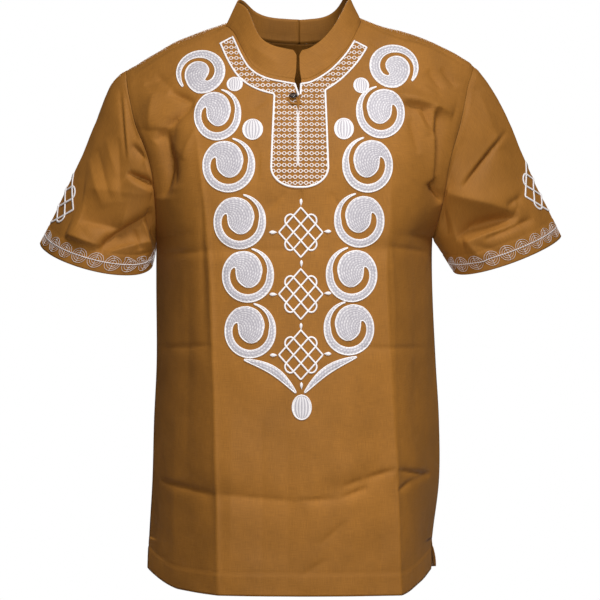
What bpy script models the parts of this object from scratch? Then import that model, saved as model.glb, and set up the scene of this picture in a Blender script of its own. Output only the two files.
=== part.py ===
"""A short-sleeved pullover shirt with a stand collar and raised white embroidery.

The shirt keeps the hollow shape it has when it is worn. Lengths are in metres. The front
faces -Y, +Z is up, and the origin lies between the shoulders, where the wearer's neck
carries the shirt. Every piece of cloth is a thin wall built on a grid of points, and
neighbouring pieces share the points and the normals of their seam.
"""
import math

import bmesh
import bpy
import numpy as np
from mathutils import Vector
from mathutils.bvhtree import BVHTree

NAME = "embroidered_shirt"

# Cloth
CLOTH = 0.0014
COLLAR_CLOTH = 0.0020
SEAM_GAP = 0.0003

# Heights
HEM_Z = -0.745
HEM_STITCH_Z = -0.716
VENT_TOP_Z = -0.687
UNDERARM_Z = -0.285
DOME_Z = -0.200
SMOOTH_FROM_Z = -0.200
SMOOTH_TO_Z = -0.080
SLIT_FOOT_Z = -0.196

# Neck and collar, half the neck's width to the left and to the right
NECK_HALF = (0.096, 0.084)
NECK_FRONT_Z = -0.082
NECK_BACK_Z = -0.018
NECK_MIDDLE_Y = -0.012
COLLAR_HEIGHT = 0.041
COLLAR_BACK_HEIGHT = 0.033
COLLAR_CORNER_DROP = 0.007
COLLAR_END_NARROW = 0.0020

# Lean of the collar towards the neck: y, degrees
COLLAR_LEAN = ((-0.085, 17.0), (-0.020, 25.0), (0.060, 9.0))

# Grid of the body's pieces, counted from the middle to one side and from hem to shoulder
NECK_STEPS = (0.0, 0.09, 0.27, 0.50, 0.70, 0.86, 0.96, 1.0)
NECK_COLUMNS = len(NECK_STEPS) - 1
FACET_COLUMNS = 10
SIDE_COLUMNS = 5
HALF_COLUMNS = FACET_COLUMNS + SIDE_COLUMNS
LOWER_ROWS = 17
UPPER_ROWS = 12
RIDGE_CREASE_X = 0.138

# Neckline: share of its half width, share of its rise from the middle to the shoulder at
# the front left, the front right and the back
NECKLINE = (
    (0.00, 0.00, 0.00, 0.00),
    (0.18, 0.03, 0.02, 0.01),
    (0.44, 0.10, 0.16, 0.04),
    (0.62, 0.24, 0.32, 0.11),
    (0.75, 0.49, 0.47, 0.23),
    (0.87, 0.81, 0.66, 0.45),
    (0.95, 0.94, 0.85, 0.70),
    (1.00, 1.00, 1.00, 1.00),
)

# How the body closes over the shoulders
STRAIGHT_RISE = DOME_Z - UNDERARM_Z
TURN_RADIUS = 0.17
FACET_RISE = 0.07
ROUND_POWER = 2.3
CREASE_FADES_FROM = 0.55

# Hem and side vents
HEM_CORNER = 0.045
HEM_CORNER_RISE = 0.019
VENT_SPREAD_Y = 0.006
VENT_SPREAD_X = (0.001, 0.007)
VENT_REACH = 0.050

# Sleeves
SLEEVE_RINGS = 10
SLEEVE_HEM_DEPTH = 0.052
SLEEVE_FOLD_SHARPNESS = 0.85
DROOP_INWARD = 0.15

# Body sections: height, half width left and right, crease left and right, depth to the
# front and to the back, roundness of the sides
BODY = (
    (HEM_Z, 0.2010, 0.1780, 0.1005, 0.1320, 0.1380, 0.1300, 0.30),
    (-0.690, 0.1997, 0.1796, 0.1020, 0.1305, 0.1375, 0.1290, 0.30),
    (-0.610, 0.1952, 0.1890, 0.1032, 0.1275, 0.1360, 0.1260, 0.31),
    (-0.530, 0.1930, 0.1890, 0.1055, 0.1230, 0.1350, 0.1220, 0.33),
    (-0.450, 0.1895, 0.1845, 0.1080, 0.1190, 0.1340, 0.1180, 0.35),
    (-0.350, 0.1900, 0.1800, 0.1105, 0.1130, 0.1315, 0.1160, 0.42),
    (-0.285, 0.1900, 0.1800, 0.1170, 0.1160, 0.1300, 0.1160, 0.47),
    (-0.220, 0.1900, 0.1850, 0.1240, 0.1190, 0.1280, 0.1180, 0.60),
    (-0.150, 0.1900, 0.1850, 0.1300, 0.1240, 0.1190, 0.1170, 0.80),
    (-0.080, 0.1900, 0.1850, 0.1360, 0.1320, 0.1000, 0.1130, 1.00),
    (0.000, 0.1900, 0.1850, 0.1380, 0.1380, 0.0850, 0.1120, 1.00),
    (0.030, 0.1900, 0.1850, 0.1380, 0.1380, 0.0800, 0.1120, 1.00),
)
WIDTH, CREASE, DEPTH, ROUNDNESS = (1, 2), (3, 4), (5, 6), 7

# Armhole seam: height, share of the side that is left in front of it, reach left and right
ARMHOLE = (
    (-0.285, 1.00, 0.190, 0.180),
    (-0.275, 0.86, 0.189, 0.183),
    (-0.260, 0.76, 0.188, 0.187),
    (-0.230, 0.66, 0.189, 0.193),
    (-0.200, 0.60, 0.192, 0.197),
    (-0.170, 0.575, 0.200, 0.203),
    (-0.140, 0.57, 0.212, 0.211),
    (-0.110, 0.57, 0.220, 0.218),
    (-0.085, 0.58, 0.226, 0.224),
    (-0.060, 0.60, 0.230, 0.233),
    (-0.030, 0.62, 0.240, 0.240),
)

# Shoulder ridge: distance from the middle, height left and right, drop of the seam in
# front of it
RIDGE = (
    (0.0000, 0.0080, 0.0120, 0.0060),
    (0.0700, 0.0070, 0.0135, 0.0065),
    (0.0840, 0.0045, 0.0085, 0.0070),
    (0.0960, 0.0025, 0.0035, 0.0070),
    (0.1080, -0.0015, -0.0010, 0.0090),
    (0.1250, -0.0067, -0.0050, 0.0120),
    (0.1370, -0.0112, -0.0078, 0.0135),
    (0.1650, -0.0230, -0.0165, 0.0115),
    (0.1910, -0.0378, -0.0287, 0.0100),
    (0.2130, -0.0515, -0.0405, 0.0100),
    (0.2330, -0.0630, -0.0540, 0.0100),
    (0.2470, -0.0720, -0.0690, 0.0100),
)

# Slit: height, half opening
SLIT = (
    (HEM_Z, 0.0080),
    (-0.260, 0.0080),
    (-0.230, 0.0040),
    (SLIT_FOOT_Z, 0.0008),
    (-0.100, 0.0015),
    (NECK_FRONT_Z, 0.0045),
)

# Sleeves: name, side, outer x and z of the hem, inner x and z, droop in front and
# behind, bulge of the cap and the share of the length at which it is fullest
SLEEVES = (
    ("sleeve_left", -1, -0.3457, -0.2920, -0.1940, -0.3210, 0.024, 0.005, 0.011, 0.15),
    ("sleeve_right", 1, 0.3524, -0.2827, 0.2090, -0.3300, 0.014, 0.006, 0.010, 0.26),
)

# Folds seen on the front: x and z of both ends, half width, height above the cloth
FRONT_FOLDS = (
    (-0.168, -0.130, -0.176, -0.205, 0.013, -0.0060),
    (-0.190, -0.160, -0.134, -0.116, 0.011, -0.0050),
    (0.118, -0.098, 0.186, -0.116, 0.013, 0.0050),
    (0.181, -0.112, 0.180, -0.228, 0.012, -0.0055),
    (-0.118, -0.215, -0.116, -0.450, 0.014, -0.0025),
    (-0.150, -0.304, -0.040, -0.300, 0.012, -0.0020),
    (0.060, -0.306, 0.170, -0.300, 0.012, -0.0025),
    (-0.180, -0.612, 0.000, -0.624, 0.015, -0.0030),
    (0.010, -0.626, 0.115, -0.590, 0.015, -0.0030),
    (0.125, -0.590, 0.158, -0.606, 0.012, -0.0030),
    (-0.030, -0.235, -0.080, -0.285, 0.012, -0.0020),
)
BACK_FOLDS = (
    (-0.170, -0.135, -0.120, -0.190, 0.014, -0.0050),
    (0.172, -0.130, 0.118, -0.188, 0.014, -0.0055),
    (-0.060, -0.050, 0.058, -0.055, 0.014, -0.0030),
    (-0.150, -0.318, 0.140, -0.308, 0.014, -0.0025),
    (-0.165, -0.600, 0.120, -0.615, 0.015, -0.0030),
    (0.110, -0.250, 0.104, -0.470, 0.014, -0.0025),
)
SLEEVE_FOLDS = (
    (-0.208, -0.168, -0.190, -0.192, 0.010, -0.0035),
    (-0.258, -0.305, -0.196, -0.280, 0.012, -0.0040),
    (0.262, -0.160, 0.214, -0.225, 0.011, -0.0050),
    (0.286, -0.262, 0.214, -0.288, 0.011, -0.0045),
)

# Embroidery, in the front view
STITCH_LIFT = 0.0006
STITCH_THICKNESS = 0.0012
OVAL_EDGE = 0.0007
OVAL_CROWN = 0.0020
OVAL_SEGMENTS = 16
SCROLL_STEPS = 26
SCROLL_RADIUS = 0.0331
TOP_SCROLL_START = 218.0
TOP_SCROLL_STRETCH = 1.12

# Outline of a scroll of radius 1: turn and radius of its outer edge, then of its inner
# edge, with turns in degrees clockwise from the top
SCROLL_OUTLINE = (
    (8.0, 1.06, 8.0, 1.04),
    (45.0, 1.04, 45.0, 0.92),
    (90.0, 1.00, 90.0, 0.75),
    (135.0, 1.02, 135.0, 0.745),
    (180.0, 1.03, 180.0, 0.75),
    (225.0, 1.02, 225.0, 0.745),
    (270.0, 1.00, 268.0, 0.73),
    (298.0, 1.01, 288.0, 0.71),
    (326.0, 1.01, 299.0, 0.66),
    (352.0, 0.94, 303.0, 0.59),
    (378.0, 0.83, 295.0, 0.51),
    (410.0, 0.66, 272.0, 0.45),
    (450.0, 0.51, 242.0, 0.43),
    (480.0, 0.48, 220.0, 0.42),
    (510.0, 0.47, 203.0, 0.43),
    (534.0, 0.46, 190.0, 0.45),
)

# Scrolls: side, x and z of the middle, width and height against the common size
SCROLLS = (
    ("scroll_left_1", -1, -0.1275, -0.0705, 0.95, 0.90),
    ("scroll_left_2", -1, -0.1035, -0.1300, 0.90, 0.98),
    ("scroll_left_3", -1, -0.0885, -0.1965, 1.00, 1.00),
    ("scroll_left_4", -1, -0.0742, -0.2690, 0.99, 1.00),
    ("scroll_left_5", -1, -0.0636, -0.3375, 0.98, 0.99),
    ("scroll_left_6", -1, -0.0607, -0.4080, 0.97, 1.00),
    ("scroll_right_1", 1, 0.1260, -0.0630, 0.95, 0.90),
    ("scroll_right_2", 1, 0.1063, -0.1265, 0.93, 1.00),
    ("scroll_right_3", 1, 0.0890, -0.1960, 0.96, 1.02),
    ("scroll_right_4", 1, 0.0783, -0.2672, 0.95, 0.99),
    ("scroll_right_5", 1, 0.0684, -0.3365, 0.97, 1.00),
    ("scroll_right_6", 1, 0.0650, -0.4050, 0.95, 0.98),
)

# Satin ovals: x and z of the middle, half width, half height
OVALS = (
    ("oval_left_upper", -0.0820, -0.0885, 0.0098, 0.0092),
    ("oval_left_lower", -0.0580, -0.1500, 0.0125, 0.0132),
    ("oval_right_upper", 0.0820, -0.0905, 0.0096, 0.0100),
    ("oval_right_lower", 0.0590, -0.1490, 0.0120, 0.0134),
    ("oval_foot", 0.0049, -0.5050, 0.0120, 0.0155),
)

# Leaves from the last scrolls to the oval below them: x and z of both ends, half width,
# bow upwards
LEAVES = (
    ("leaf_left", -0.0680, -0.4445, -0.0025, -0.4862, 0.0050, 0.0080),
    ("leaf_right", 0.0745, -0.4410, 0.0085, -0.4862, 0.0048, 0.0072),
)
LEAF_STEPS = 10

# Neck band, measured out from the neckline in the front view
NECK_BANDS = (("neck_band_left", -1), ("neck_band_right", 1))
BAND_STEPS = 13
BAND_SLIT_HALF = 0.0034
BAND_END = 0.87
BAND_START_MIDDLE = 0.0085
BAND_START_SHOULDER = (0.0050, 0.0030)
BAND_WIDTH = 0.0182

# Bib round the slit
BIB_LEFT = -0.0354
BIB_RIGHT = 0.0401
BIB_FOOT_Z = -0.2260
BIB_CURVE_Z = -0.1990
BIB_ROW_POWER = 1.5
BIB_FOOT_SHARE = 0.10
BIB_ROWS = 9
BIB_SLIT_HALF = 0.0022
BIB_SHARES = (1.0, 0.66, 0.33)
BIB_TOP_GAP = 0.0012

# Button and its loop
BUTTON_X = -0.0060
BUTTON_Z = -0.1085
BUTTON_RADIUS = 0.00575
BUTTON_THICKNESS = 0.0026
SHANK_RADIUS = 0.0018
LOOP_DROP = 0.0022
LOOP_OUTER = 0.0074
LOOP_INNER = 0.0038
LOOP_THICKNESS = 0.0012
LOOP_END_X = 0.0052
ROUND_SEGMENTS = 24

# Materials: colour, roughness
CLOTH_FINISH = ((0.36, 0.17, 0.035, 1.0), 0.75)
THREAD_FINISH = ((0.86, 0.84, 0.82, 1.0), 0.60)
BUTTON_FINISH = ((0.010, 0.008, 0.008, 1.0), 0.25)


def mix(first, second, share):
    return first + (second - first) * share


def ease(value, low, high):
    """0 below low, 1 above high, and a smooth step between them."""
    share = min(max((value - low) / (high - low), 0.0), 1.0)
    return share * share * (3.0 - 2.0 * share)


def curve_at(table, key, column):
    """A column of a table, read on a smooth curve through its rows."""
    keys = [row[0] for row in table]
    values = [row[column] for row in table]
    last = len(keys) - 1
    i = min(max(int(np.searchsorted(keys, key)) - 1, 0), last - 1)
    span = keys[i + 1] - keys[i]
    share = min(max((key - keys[i]) / span, 0.0), 1.0)

    def slope(k):
        low, high = max(k - 1, 0), min(k + 1, last)
        return (values[high] - values[low]) / (keys[high] - keys[low]) * span

    square, cube = share ** 2, share ** 3
    return (
        values[i] * (2 * cube - 3 * square + 1)
        + slope(i) * (cube - 2 * square + share)
        + values[i + 1] * (3 * square - 2 * cube)
        + slope(i + 1) * (cube - square)
    )


def side_index(side):
    return 0 if side < 0 else 1


def side_share(part, roundness):
    """Distance covered across the side after a part of it, from 0 to 1."""
    return (1 - roundness) * part + roundness * math.sin(math.pi / 2 * part)


def side_values(side, height):
    """Half width, crease distance, roundness and the part in front of the armhole."""
    i = side_index(side)
    width = curve_at(BODY, height, WIDTH[i])
    crease = curve_at(BODY, height, CREASE[i])
    roundness = curve_at(BODY, height, ROUNDNESS)
    part = 1.0
    if height > UNDERARM_Z:
        part = curve_at(ARMHOLE, height, 1)
        reach = curve_at(ARMHOLE, height, 2 + i)
        width = crease + (reach - crease) / side_share(part, roundness)
    return width, crease, roundness, part


def column_at(side, step, height):
    """Distance from the middle and part of the side, for a column at a height."""
    width, crease, roundness, part = side_values(side, height)
    if step > FACET_COLUMNS:
        here = part * (step - FACET_COLUMNS) / SIDE_COLUMNS
        return crease + (width - crease) * side_share(here, roundness), here
    neck_half = NECK_HALF[side_index(side)]
    if step <= NECK_COLUMNS:
        settled = neck_half * NECK_STEPS[step]
    else:
        beyond = (step - NECK_COLUMNS) / (FACET_COLUMNS - NECK_COLUMNS)
        settled = mix(neck_half, RIDGE_CREASE_X, beyond)
    plain = crease * step / FACET_COLUMNS
    return mix(plain, settled, ease(height, SMOOTH_FROM_Z, SMOOTH_TO_Z)), 0.0


def depth_at(side, face, x, part, height):
    """Depth of the front (face 0) or the back (face 1), before the shoulders close."""
    width, crease, roundness, _ = side_values(side, height)
    depth = curve_at(BODY, height, DEPTH[face])
    if x <= crease:
        creased = depth * (1 - FACET_RISE * (x / crease) ** 2)
    else:
        turn = math.cos(math.pi / 2 * part)
        creased = depth * (1 - FACET_RISE) * mix(1 - part, turn, roundness)
    smooth = depth * max(1 - (x / width) ** ROUND_POWER, 0.0) ** (1 / ROUND_POWER)
    fade = min(max((roundness - CREASE_FADES_FROM) / (1 - CREASE_FADES_FROM), 0.0), 1.0)
    return mix(creased, smooth, fade)


def column_ridge(side, step):
    """Height of the shoulder ridge and drop of its seam, where a column meets it."""
    height = 0.0
    for _ in range(8):
        x, _ = column_at(side, step, height)
        height = curve_at(RIDGE, x, 1 + side_index(side))
    return height, curve_at(RIDGE, x, 3)


def end_turn(side, step, face):
    """Angle over the shoulder at which a column of the front or the back ends."""
    ridge, drop = column_ridge(side, step)
    span = ridge - DOME_Z
    seam = math.asin((ridge - drop - DOME_Z) / span)
    if step > NECK_COLUMNS:
        return seam if face == 0 else math.pi - seam
    column = 1 + side_index(side) if face == 0 else 3
    rise = curve_at(NECKLINE, NECK_STEPS[step], column)
    if face == 0:
        height = mix(NECK_FRONT_Z, ridge - drop, rise)
        return math.asin((height - DOME_Z) / span)
    low = math.asin((NECK_BACK_Z - DOME_Z) / span)
    return mix(low, math.pi - seam, rise)


def fold_height(folds, x, z):
    """Height of the folds at a place, each a soft ridge or trough with tapered ends."""
    total = 0.0
    for x0, z0, x1, z1, half_width, height in folds:
        run = Vector((x1 - x0, z1 - z0))
        place = Vector((x - x0, z - z0))
        share = place.dot(run) / run.length_squared
        if not 0.0 < share < 1.0:
            continue
        away = (place - run * share).length / half_width
        total += height * math.exp(-away * away) * math.sin(math.pi * share) ** 0.7
    return total


def lower_heights():
    """Heights of the rows from the hem to the underarm."""
    plain = np.linspace(VENT_TOP_Z, UNDERARM_Z, LOWER_ROWS - 1)
    return [HEM_Z, HEM_STITCH_Z] + [float(z) for z in plain]


def body_point(side, step, row, face):
    """A point of the front or the back on the grid of the body."""
    sign = -1 if face == 0 else 1
    heights = lower_heights()
    closing = 1.0
    shown_face = face
    if row < len(heights):
        height = heights[row]
    else:
        last_turn = end_turn(side, step, face)
        whole = STRAIGHT_RISE + TURN_RADIUS * last_turn
        way = whole * (row - len(heights) + 1) / UPPER_ROWS
        if way <= STRAIGHT_RISE:
            height = UNDERARM_Z + way
        else:
            turn = (way - STRAIGHT_RISE) / TURN_RADIUS
            ridge, _ = column_ridge(side, step)
            height = DOME_Z + (ridge - DOME_Z) * math.sin(turn)
            closing = abs(math.cos(turn))
            if turn > math.pi / 2:
                shown_face, sign = 0, -1
    x, part = column_at(side, step, height)
    y = depth_at(side, shown_face, x, part, height) * closing
    folds = FRONT_FOLDS if face == 0 else BACK_FOLDS
    edge_distance = (HALF_COLUMNS - step) / SIDE_COLUMNS
    y += fold_height(folds, side * x, height) * min(edge_distance, 1.0) * closing
    shift = Vector((0.0, 0.0, 0.0))
    if height < VENT_TOP_Z:
        shift = hem_shift(side, step, height, face)
    return Vector((side * x, sign * y, height)) + shift


def hem_shift(side, step, height, face):
    """Rounded hem corner and the spread of the side vent."""
    width, crease, roundness, _ = side_values(side, height)
    part = max(step - FACET_COLUMNS, 0) / SIDE_COLUMNS
    from_seam = (width - crease) * (1 - side_share(part, roundness))
    open_share = ease(-height, -VENT_TOP_Z, -HEM_Z)
    near = 1 - ease(from_seam, 0.0, VENT_REACH)
    spread = open_share * near
    corner = max(1 - from_seam / HEM_CORNER, 0.0) ** 1.5 * HEM_CORNER_RISE
    rise = corner * ease(-height, -VENT_TOP_Z - 0.02, -HEM_Z)
    if face == 0:
        return Vector((0.0, -VENT_SPREAD_Y * spread, rise))
    aside = VENT_SPREAD_X[side_index(side)] * spread
    return Vector((side * aside, VENT_SPREAD_Y * spread, rise))


def body_grid(face):
    """Grid of the front or the back, seen from outside from left to right."""
    rows = LOWER_ROWS + 1 + UPPER_ROWS
    first = -1 if face == 0 else 1
    columns = [(first, step) for step in range(HALF_COLUMNS, -1, -1)]
    columns += [(-first, step) for step in range(0 if face == 0 else 1, HALF_COLUMNS + 1)]
    grid = []
    for row in range(rows):
        line = []
        for side, step in columns:
            point = body_point(side, step, row, face)
            if face == 0 and step == 0:
                point.x = side * curve_at(SLIT, min(point.z, NECK_FRONT_Z), 1)
            line.append(point)
        grid.append(line)
    return grid


def make_front():
    grid = body_grid(0)
    middle = HALF_COLUMNS
    slit = {
        (row, middle)
        for row in range(len(grid) - 1)
        if grid[row][middle].z >= SLIT_FOOT_Z - 0.012
    }
    return {
        "name": "front",
        "group": "body",
        "grid": grid,
        "omitted": slit,
        "seams": ("sides", "top"),
    }


def make_back():
    return {
        "name": "back",
        "group": "body",
        "grid": body_grid(1),
        "omitted": set(),
        "seams": ("sides", "top"),
    }


def make_collar(front, back):
    """Stand collar on the neckline, open at the front, leaning towards the neck."""
    top = front["grid"][-1]
    middle = HALF_COLUMNS
    right = top[middle + 1:middle + 2 + NECK_COLUMNS]
    left = top[middle - NECK_COLUMNS:middle + 1]
    rear = back["grid"][-1][HALF_COLUMNS - NECK_COLUMNS:HALF_COLUMNS + NECK_COLUMNS + 1]
    base = list(right) + list(rear[1:-1]) + list(left)
    levels = 4
    grid = [[] for _ in range(levels + 1)]
    last = len(base) - 1
    for i, foot in enumerate(base):
        inward = Vector((-foot.x, NECK_MIDDLE_Y - foot.y, 0.0)).normalized()
        behind = ease(foot.y, -0.06, 0.0)
        lean = math.radians(curve_at(COLLAR_LEAN, foot.y, 1))
        height = mix(COLLAR_HEIGHT, COLLAR_BACK_HEIGHT, behind)
        if i in (0, last):
            height -= COLLAR_CORNER_DROP
        rise = Vector((0.0, 0.0, math.cos(lean))) + inward * math.sin(lean)
        for level in range(levels + 1):
            share = level / levels
            point = foot + rise * (height * share)
            if i in (0, last):
                narrow = COLLAR_END_NARROW * math.sin(math.pi / 2 * min(2 * share, 1.0))
                point.x += (-1 if i == 0 else 1) * narrow
            grid[level].append(point)
    return {
        "name": "collar",
        "group": "collar",
        "grid": grid,
        "omitted": set(),
        "seams": ("bottom",),
        "thickness": COLLAR_CLOTH,
    }


def armhole_loop(front, back, side):
    """Points round an armhole: up the front edge, over the shoulder, down the back."""
    front_column = 0 if side < 0 else -1
    back_column = -1 if side < 0 else 0
    rows = range(LOWER_ROWS, LOWER_ROWS + UPPER_ROWS + 1)
    up = [front["grid"][row][front_column] for row in rows]
    down = [back["grid"][row][back_column] for row in rows]
    return up + down[-2:0:-1]


def make_sleeve(front, back, row):
    name, side, outer_x, outer_z, inner_x, inner_z, droop_front, droop_back = row[:8]
    bulge, fullest = row[8:]
    loop = armhole_loop(front, back, side)
    count = len(loop)
    outer = Vector((outer_x, 0.0, outer_z))
    inner = Vector((inner_x, 0.0, inner_z))
    middle = (outer + inner) / 2
    half = (outer - inner) / 2
    tip = loop[count // 2]
    along = (outer - tip).normalized()
    bulge_way = Vector((side * -along.z, 0.0, side * along.x))
    grid = []
    for ring in range(SLEEVE_RINGS + 1):
        share = ring / SLEEVE_RINGS
        swell = share / fullest * math.exp(1 - share / fullest) * (1 - share ** 4)
        line = []
        for i, start in enumerate(loop):
            angle = 2 * math.pi * i / count
            end = middle - half * math.cos(angle)
            topness = math.sin(angle / 2) ** 2
            sharpness = 1 + SLEEVE_FOLD_SHARPNESS * topness
            away = math.copysign(abs(math.sin(angle)) ** sharpness, math.sin(angle))
            end.y = -SLEEVE_HEM_DEPTH * away
            droop = droop_front if math.sin(angle) > 0 else droop_back
            end.z -= droop * abs(math.sin(angle)) * (1 + DROOP_INWARD * math.cos(angle))
            point = start.lerp(end, share)
            point += bulge_way * (bulge * swell * topness)
            if point.y < 0:
                inside = math.sin(math.pi * min(share, 0.5))
                point.y -= fold_height(SLEEVE_FOLDS, point.x, point.z) * inside
            line.append(point)
        grid.append(line)
    if side > 0:
        grid = [[line[0]] + line[:0:-1] for line in grid]
    return {
        "name": name,
        "group": "sleeve",
        "grid": grid,
        "omitted": set(),
        "seams": ("bottom",),
        "closed": True,
    }


def kept_cells(piece):
    rows = len(piece["grid"]) - 1
    columns = len(piece["grid"][0]) - (0 if piece.get("closed") else 1)
    for row in range(rows):
        for column in range(columns):
            if (row, column) not in piece["omitted"]:
                yield row, column


def cell_corners(piece, row, column):
    beside = (column + 1) % len(piece["grid"][0])
    return (row, column), (row, beside), (row + 1, beside), (row + 1, column)


def place_key(point):
    return tuple(round(value, 6) for value in point)


def seam_normals(pieces):
    """Normal at each place, shared by all the pieces that meet there."""
    sums = {}
    for piece in pieces:
        grid = piece["grid"]
        for row, column in kept_cells(piece):
            a, b, c, d = (grid[r][q] for r, q in cell_corners(piece, row, column))
            normal = (c - a).cross(d - b)
            for corner in (a, b, c, d):
                groups = sums.setdefault(place_key(corner), {})
                group = piece["group"]
                groups[group] = groups.get(group, Vector()) + normal
    normals = {}
    for key, groups in sums.items():
        total = sum((normal.normalized() for normal in groups.values()), Vector())
        normals[key] = total.normalized()
    return normals


def seam_inset(piece, row, column, normal):
    """Small move away from the seams that a point lies on, within the cloth."""
    grid = piece["grid"]
    point = grid[row][column]
    last_row, last_column = len(grid) - 1, len(grid[0]) - 1
    neighbours = []
    on_side = "sides" in piece["seams"]
    if on_side and column == 0:
        neighbours.append(grid[row][1])
    if on_side and column == last_column:
        neighbours.append(grid[row][last_column - 1])
    if "top" in piece["seams"] and row == last_row:
        neighbours.append(grid[row - 1][column])
    if "bottom" in piece["seams"] and row == 0:
        neighbours.append(grid[1][column])
    shift = Vector()
    for neighbour in neighbours:
        way = neighbour - point
        way -= normal * way.dot(normal)
        shift += way.normalized() * (SEAM_GAP * 0.55)
    return shift


def add_piece(name, bm, finish, collection):
    """Object for a closed body, with its own material."""
    bmesh.ops.recalc_face_normals(bm, faces=bm.faces)
    mesh = bpy.data.meshes.new(name)
    bm.to_mesh(mesh)
    bm.free()
    return link_piece(name, mesh, finish, collection)


def link_piece(name, mesh, finish, collection):
    colour, roughness = finish
    material = bpy.data.materials.new(name)
    material.use_nodes = True
    shader = material.node_tree.nodes["Principled BSDF"]
    shader.inputs["Base Color"].default_value = colour
    shader.inputs["Roughness"].default_value = roughness
    shader.inputs["Metallic"].default_value = 0.0
    mesh.materials.append(material)
    piece = bpy.data.objects.new(name, mesh)
    collection.objects.link(piece)
    return piece


def make_wall(piece, normals, low, high, finish, collection):
    """Closed wall between two heights over a grid, with a rim round each edge."""
    grid = piece["grid"]
    bm = bmesh.new()
    outer, inner = {}, {}
    for row, column in kept_cells(piece):
        for corner in cell_corners(piece, row, column):
            if corner in outer:
                continue
            point = grid[corner[0]][corner[1]]
            normal = normals[place_key(point)]
            seated = point + seam_inset(piece, corner[0], corner[1], normal)
            outer[corner] = bm.verts.new(seated + normal * high)
            inner[corner] = bm.verts.new(seated + normal * low)
    used = {}
    for row, column in kept_cells(piece):
        a, b, c, d = cell_corners(piece, row, column)
        for first, second, third in ((a, b, c), (a, c, d)):
            bm.faces.new((outer[first], outer[second], outer[third]))
            bm.faces.new((inner[third], inner[second], inner[first]))
        for edge in ((a, b), (b, c), (c, d), (d, a)):
            key = frozenset(edge)
            used[key] = None if key in used else edge
    for edge in used.values():
        if edge is not None:
            # Pieces that share a seam split its rim along the same diagonal.
            low_end, high_end = sorted(edge, key=lambda at: place_key(grid[at[0]][at[1]]))
            bm.faces.new((outer[low_end], outer[high_end], inner[high_end]))
            bm.faces.new((outer[low_end], inner[high_end], inner[low_end]))
    return add_piece(piece["name"], bm, finish, collection)


def surface_tree(piece):
    """Search tree on the outer surface of a piece, to lay embroidery on it."""
    points, faces, index = [], [], {}
    for row, column in kept_cells(piece):
        corners = cell_corners(piece, row, column)
        for corner in corners:
            if corner not in index:
                index[corner] = len(points)
                points.append(piece["grid"][corner[0]][corner[1]])
        a, b, c, d = (index[corner] for corner in corners)
        faces += [(a, b, c), (a, c, d)]
    return BVHTree.FromPolygons(points, faces)


def place_on(tree, x, z):
    """Point of the front and its outward normal, at a place of the front view."""
    point, normal, _, _ = tree.ray_cast(Vector((x, -1.0, z)), Vector((0.0, 1.0, 0.0)))
    if point is None:
        raise ValueError(f"nothing to stitch on at {x:.3f}, {z:.3f}")
    if normal.y > 0:
        normal = -normal
    return point, normal


def chord_rise(tree, first, second, first_point, second_point, normal):
    """How far the cloth stands above the straight line between two of its points."""
    rise = 0.0
    for share in (0.2, 0.4, 0.5, 0.6, 0.8):
        x, z = mix(first[0], second[0], share), mix(first[1], second[1], share)
        under, _ = place_on(tree, x, z)
        line = first_point.lerp(second_point, share)
        rise = max(rise, (under - line).dot(normal))
    return rise


def make_strip(name, tree, stations, finish, collection, lift=STITCH_LIFT,
               thickness=STITCH_THICKNESS):
    """Raised strip on the front, through pairs of places on its two edges."""
    bm = bmesh.new()
    rings = []
    for first, second in stations:
        a, normal_a = place_on(tree, *first)
        b, normal_b = place_on(tree, *second)
        normal = (normal_a + normal_b).normalized()
        low = lift + chord_rise(tree, first, second, a, b, normal)
        high = low + thickness
        corners = (a + normal * low, b + normal * low, b + normal * high, a + normal * high)
        rings.append([bm.verts.new(corner) for corner in corners])
    for ring, following in zip(rings, rings[1:]):
        for i in range(4):
            k = (i + 1) % 4
            bm.faces.new((ring[i], ring[k], following[k]))
            bm.faces.new((ring[i], following[k], following[i]))
    for ring in (rings[0], rings[-1]):
        bm.faces.new((ring[0], ring[1], ring[2]))
        bm.faces.new((ring[0], ring[2], ring[3]))
    return add_piece(name, bm, finish, collection)


def scroll_stations(row):
    """Edge pairs of a scroll: a thin start, a round band and a full curled head."""
    name, side, x, z, width, height = row
    start, stretch = 0.0, 1.0
    if name.endswith("_1"):
        start, stretch = TOP_SCROLL_START, TOP_SCROLL_STRETCH
    knots = list(range(len(SCROLL_OUTLINE)))
    stations = []
    for k in np.linspace(0, knots[-1], SCROLL_STEPS):
        values = [np.interp(k, knots, [r[c] for r in SCROLL_OUTLINE]) for c in range(4)]
        pair = []
        for turn, radius in ((values[0], values[1]), (values[2], values[3])):
            angle = math.radians(start + turn * stretch)
            reach = radius * SCROLL_RADIUS
            across = -side * math.sin(angle) * reach * width
            pair.append((x + across, z + math.cos(angle) * reach * height))
        stations.append(pair)
    return stations


def make_oval(row, tree, finish, collection):
    """Satin-stitched oval: a low pad with a crowned middle."""
    name, x, z, half_width, half_height = row
    segments = OVAL_SEGMENTS
    bm = bmesh.new()
    centre, normal = place_on(tree, x, z)
    edge = []
    lift = STITCH_LIFT
    for i in range(segments):
        angle = 2 * math.pi * i / segments
        place = (x + half_width * math.cos(angle), z + half_height * math.sin(angle))
        point, _ = place_on(tree, *place)
        rise = chord_rise(tree, place, (x, z), point, centre, normal)
        lift = max(lift, STITCH_LIFT + rise)
        edge.append(point)
    low = [bm.verts.new(point + normal * lift) for point in edge]
    high = [bm.verts.new(point + normal * (lift + OVAL_EDGE)) for point in edge]
    bottom = bm.verts.new(centre + normal * lift)
    crown = bm.verts.new(centre + normal * (lift + OVAL_CROWN))
    for i in range(segments):
        k = (i + 1) % segments
        bm.faces.new((high[i], high[k], crown))
        bm.faces.new((low[k], low[i], bottom))
        bm.faces.new((low[i], low[k], high[k]))
        bm.faces.new((low[i], high[k], high[i]))
    return add_piece(name, bm, finish, collection)


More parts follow.
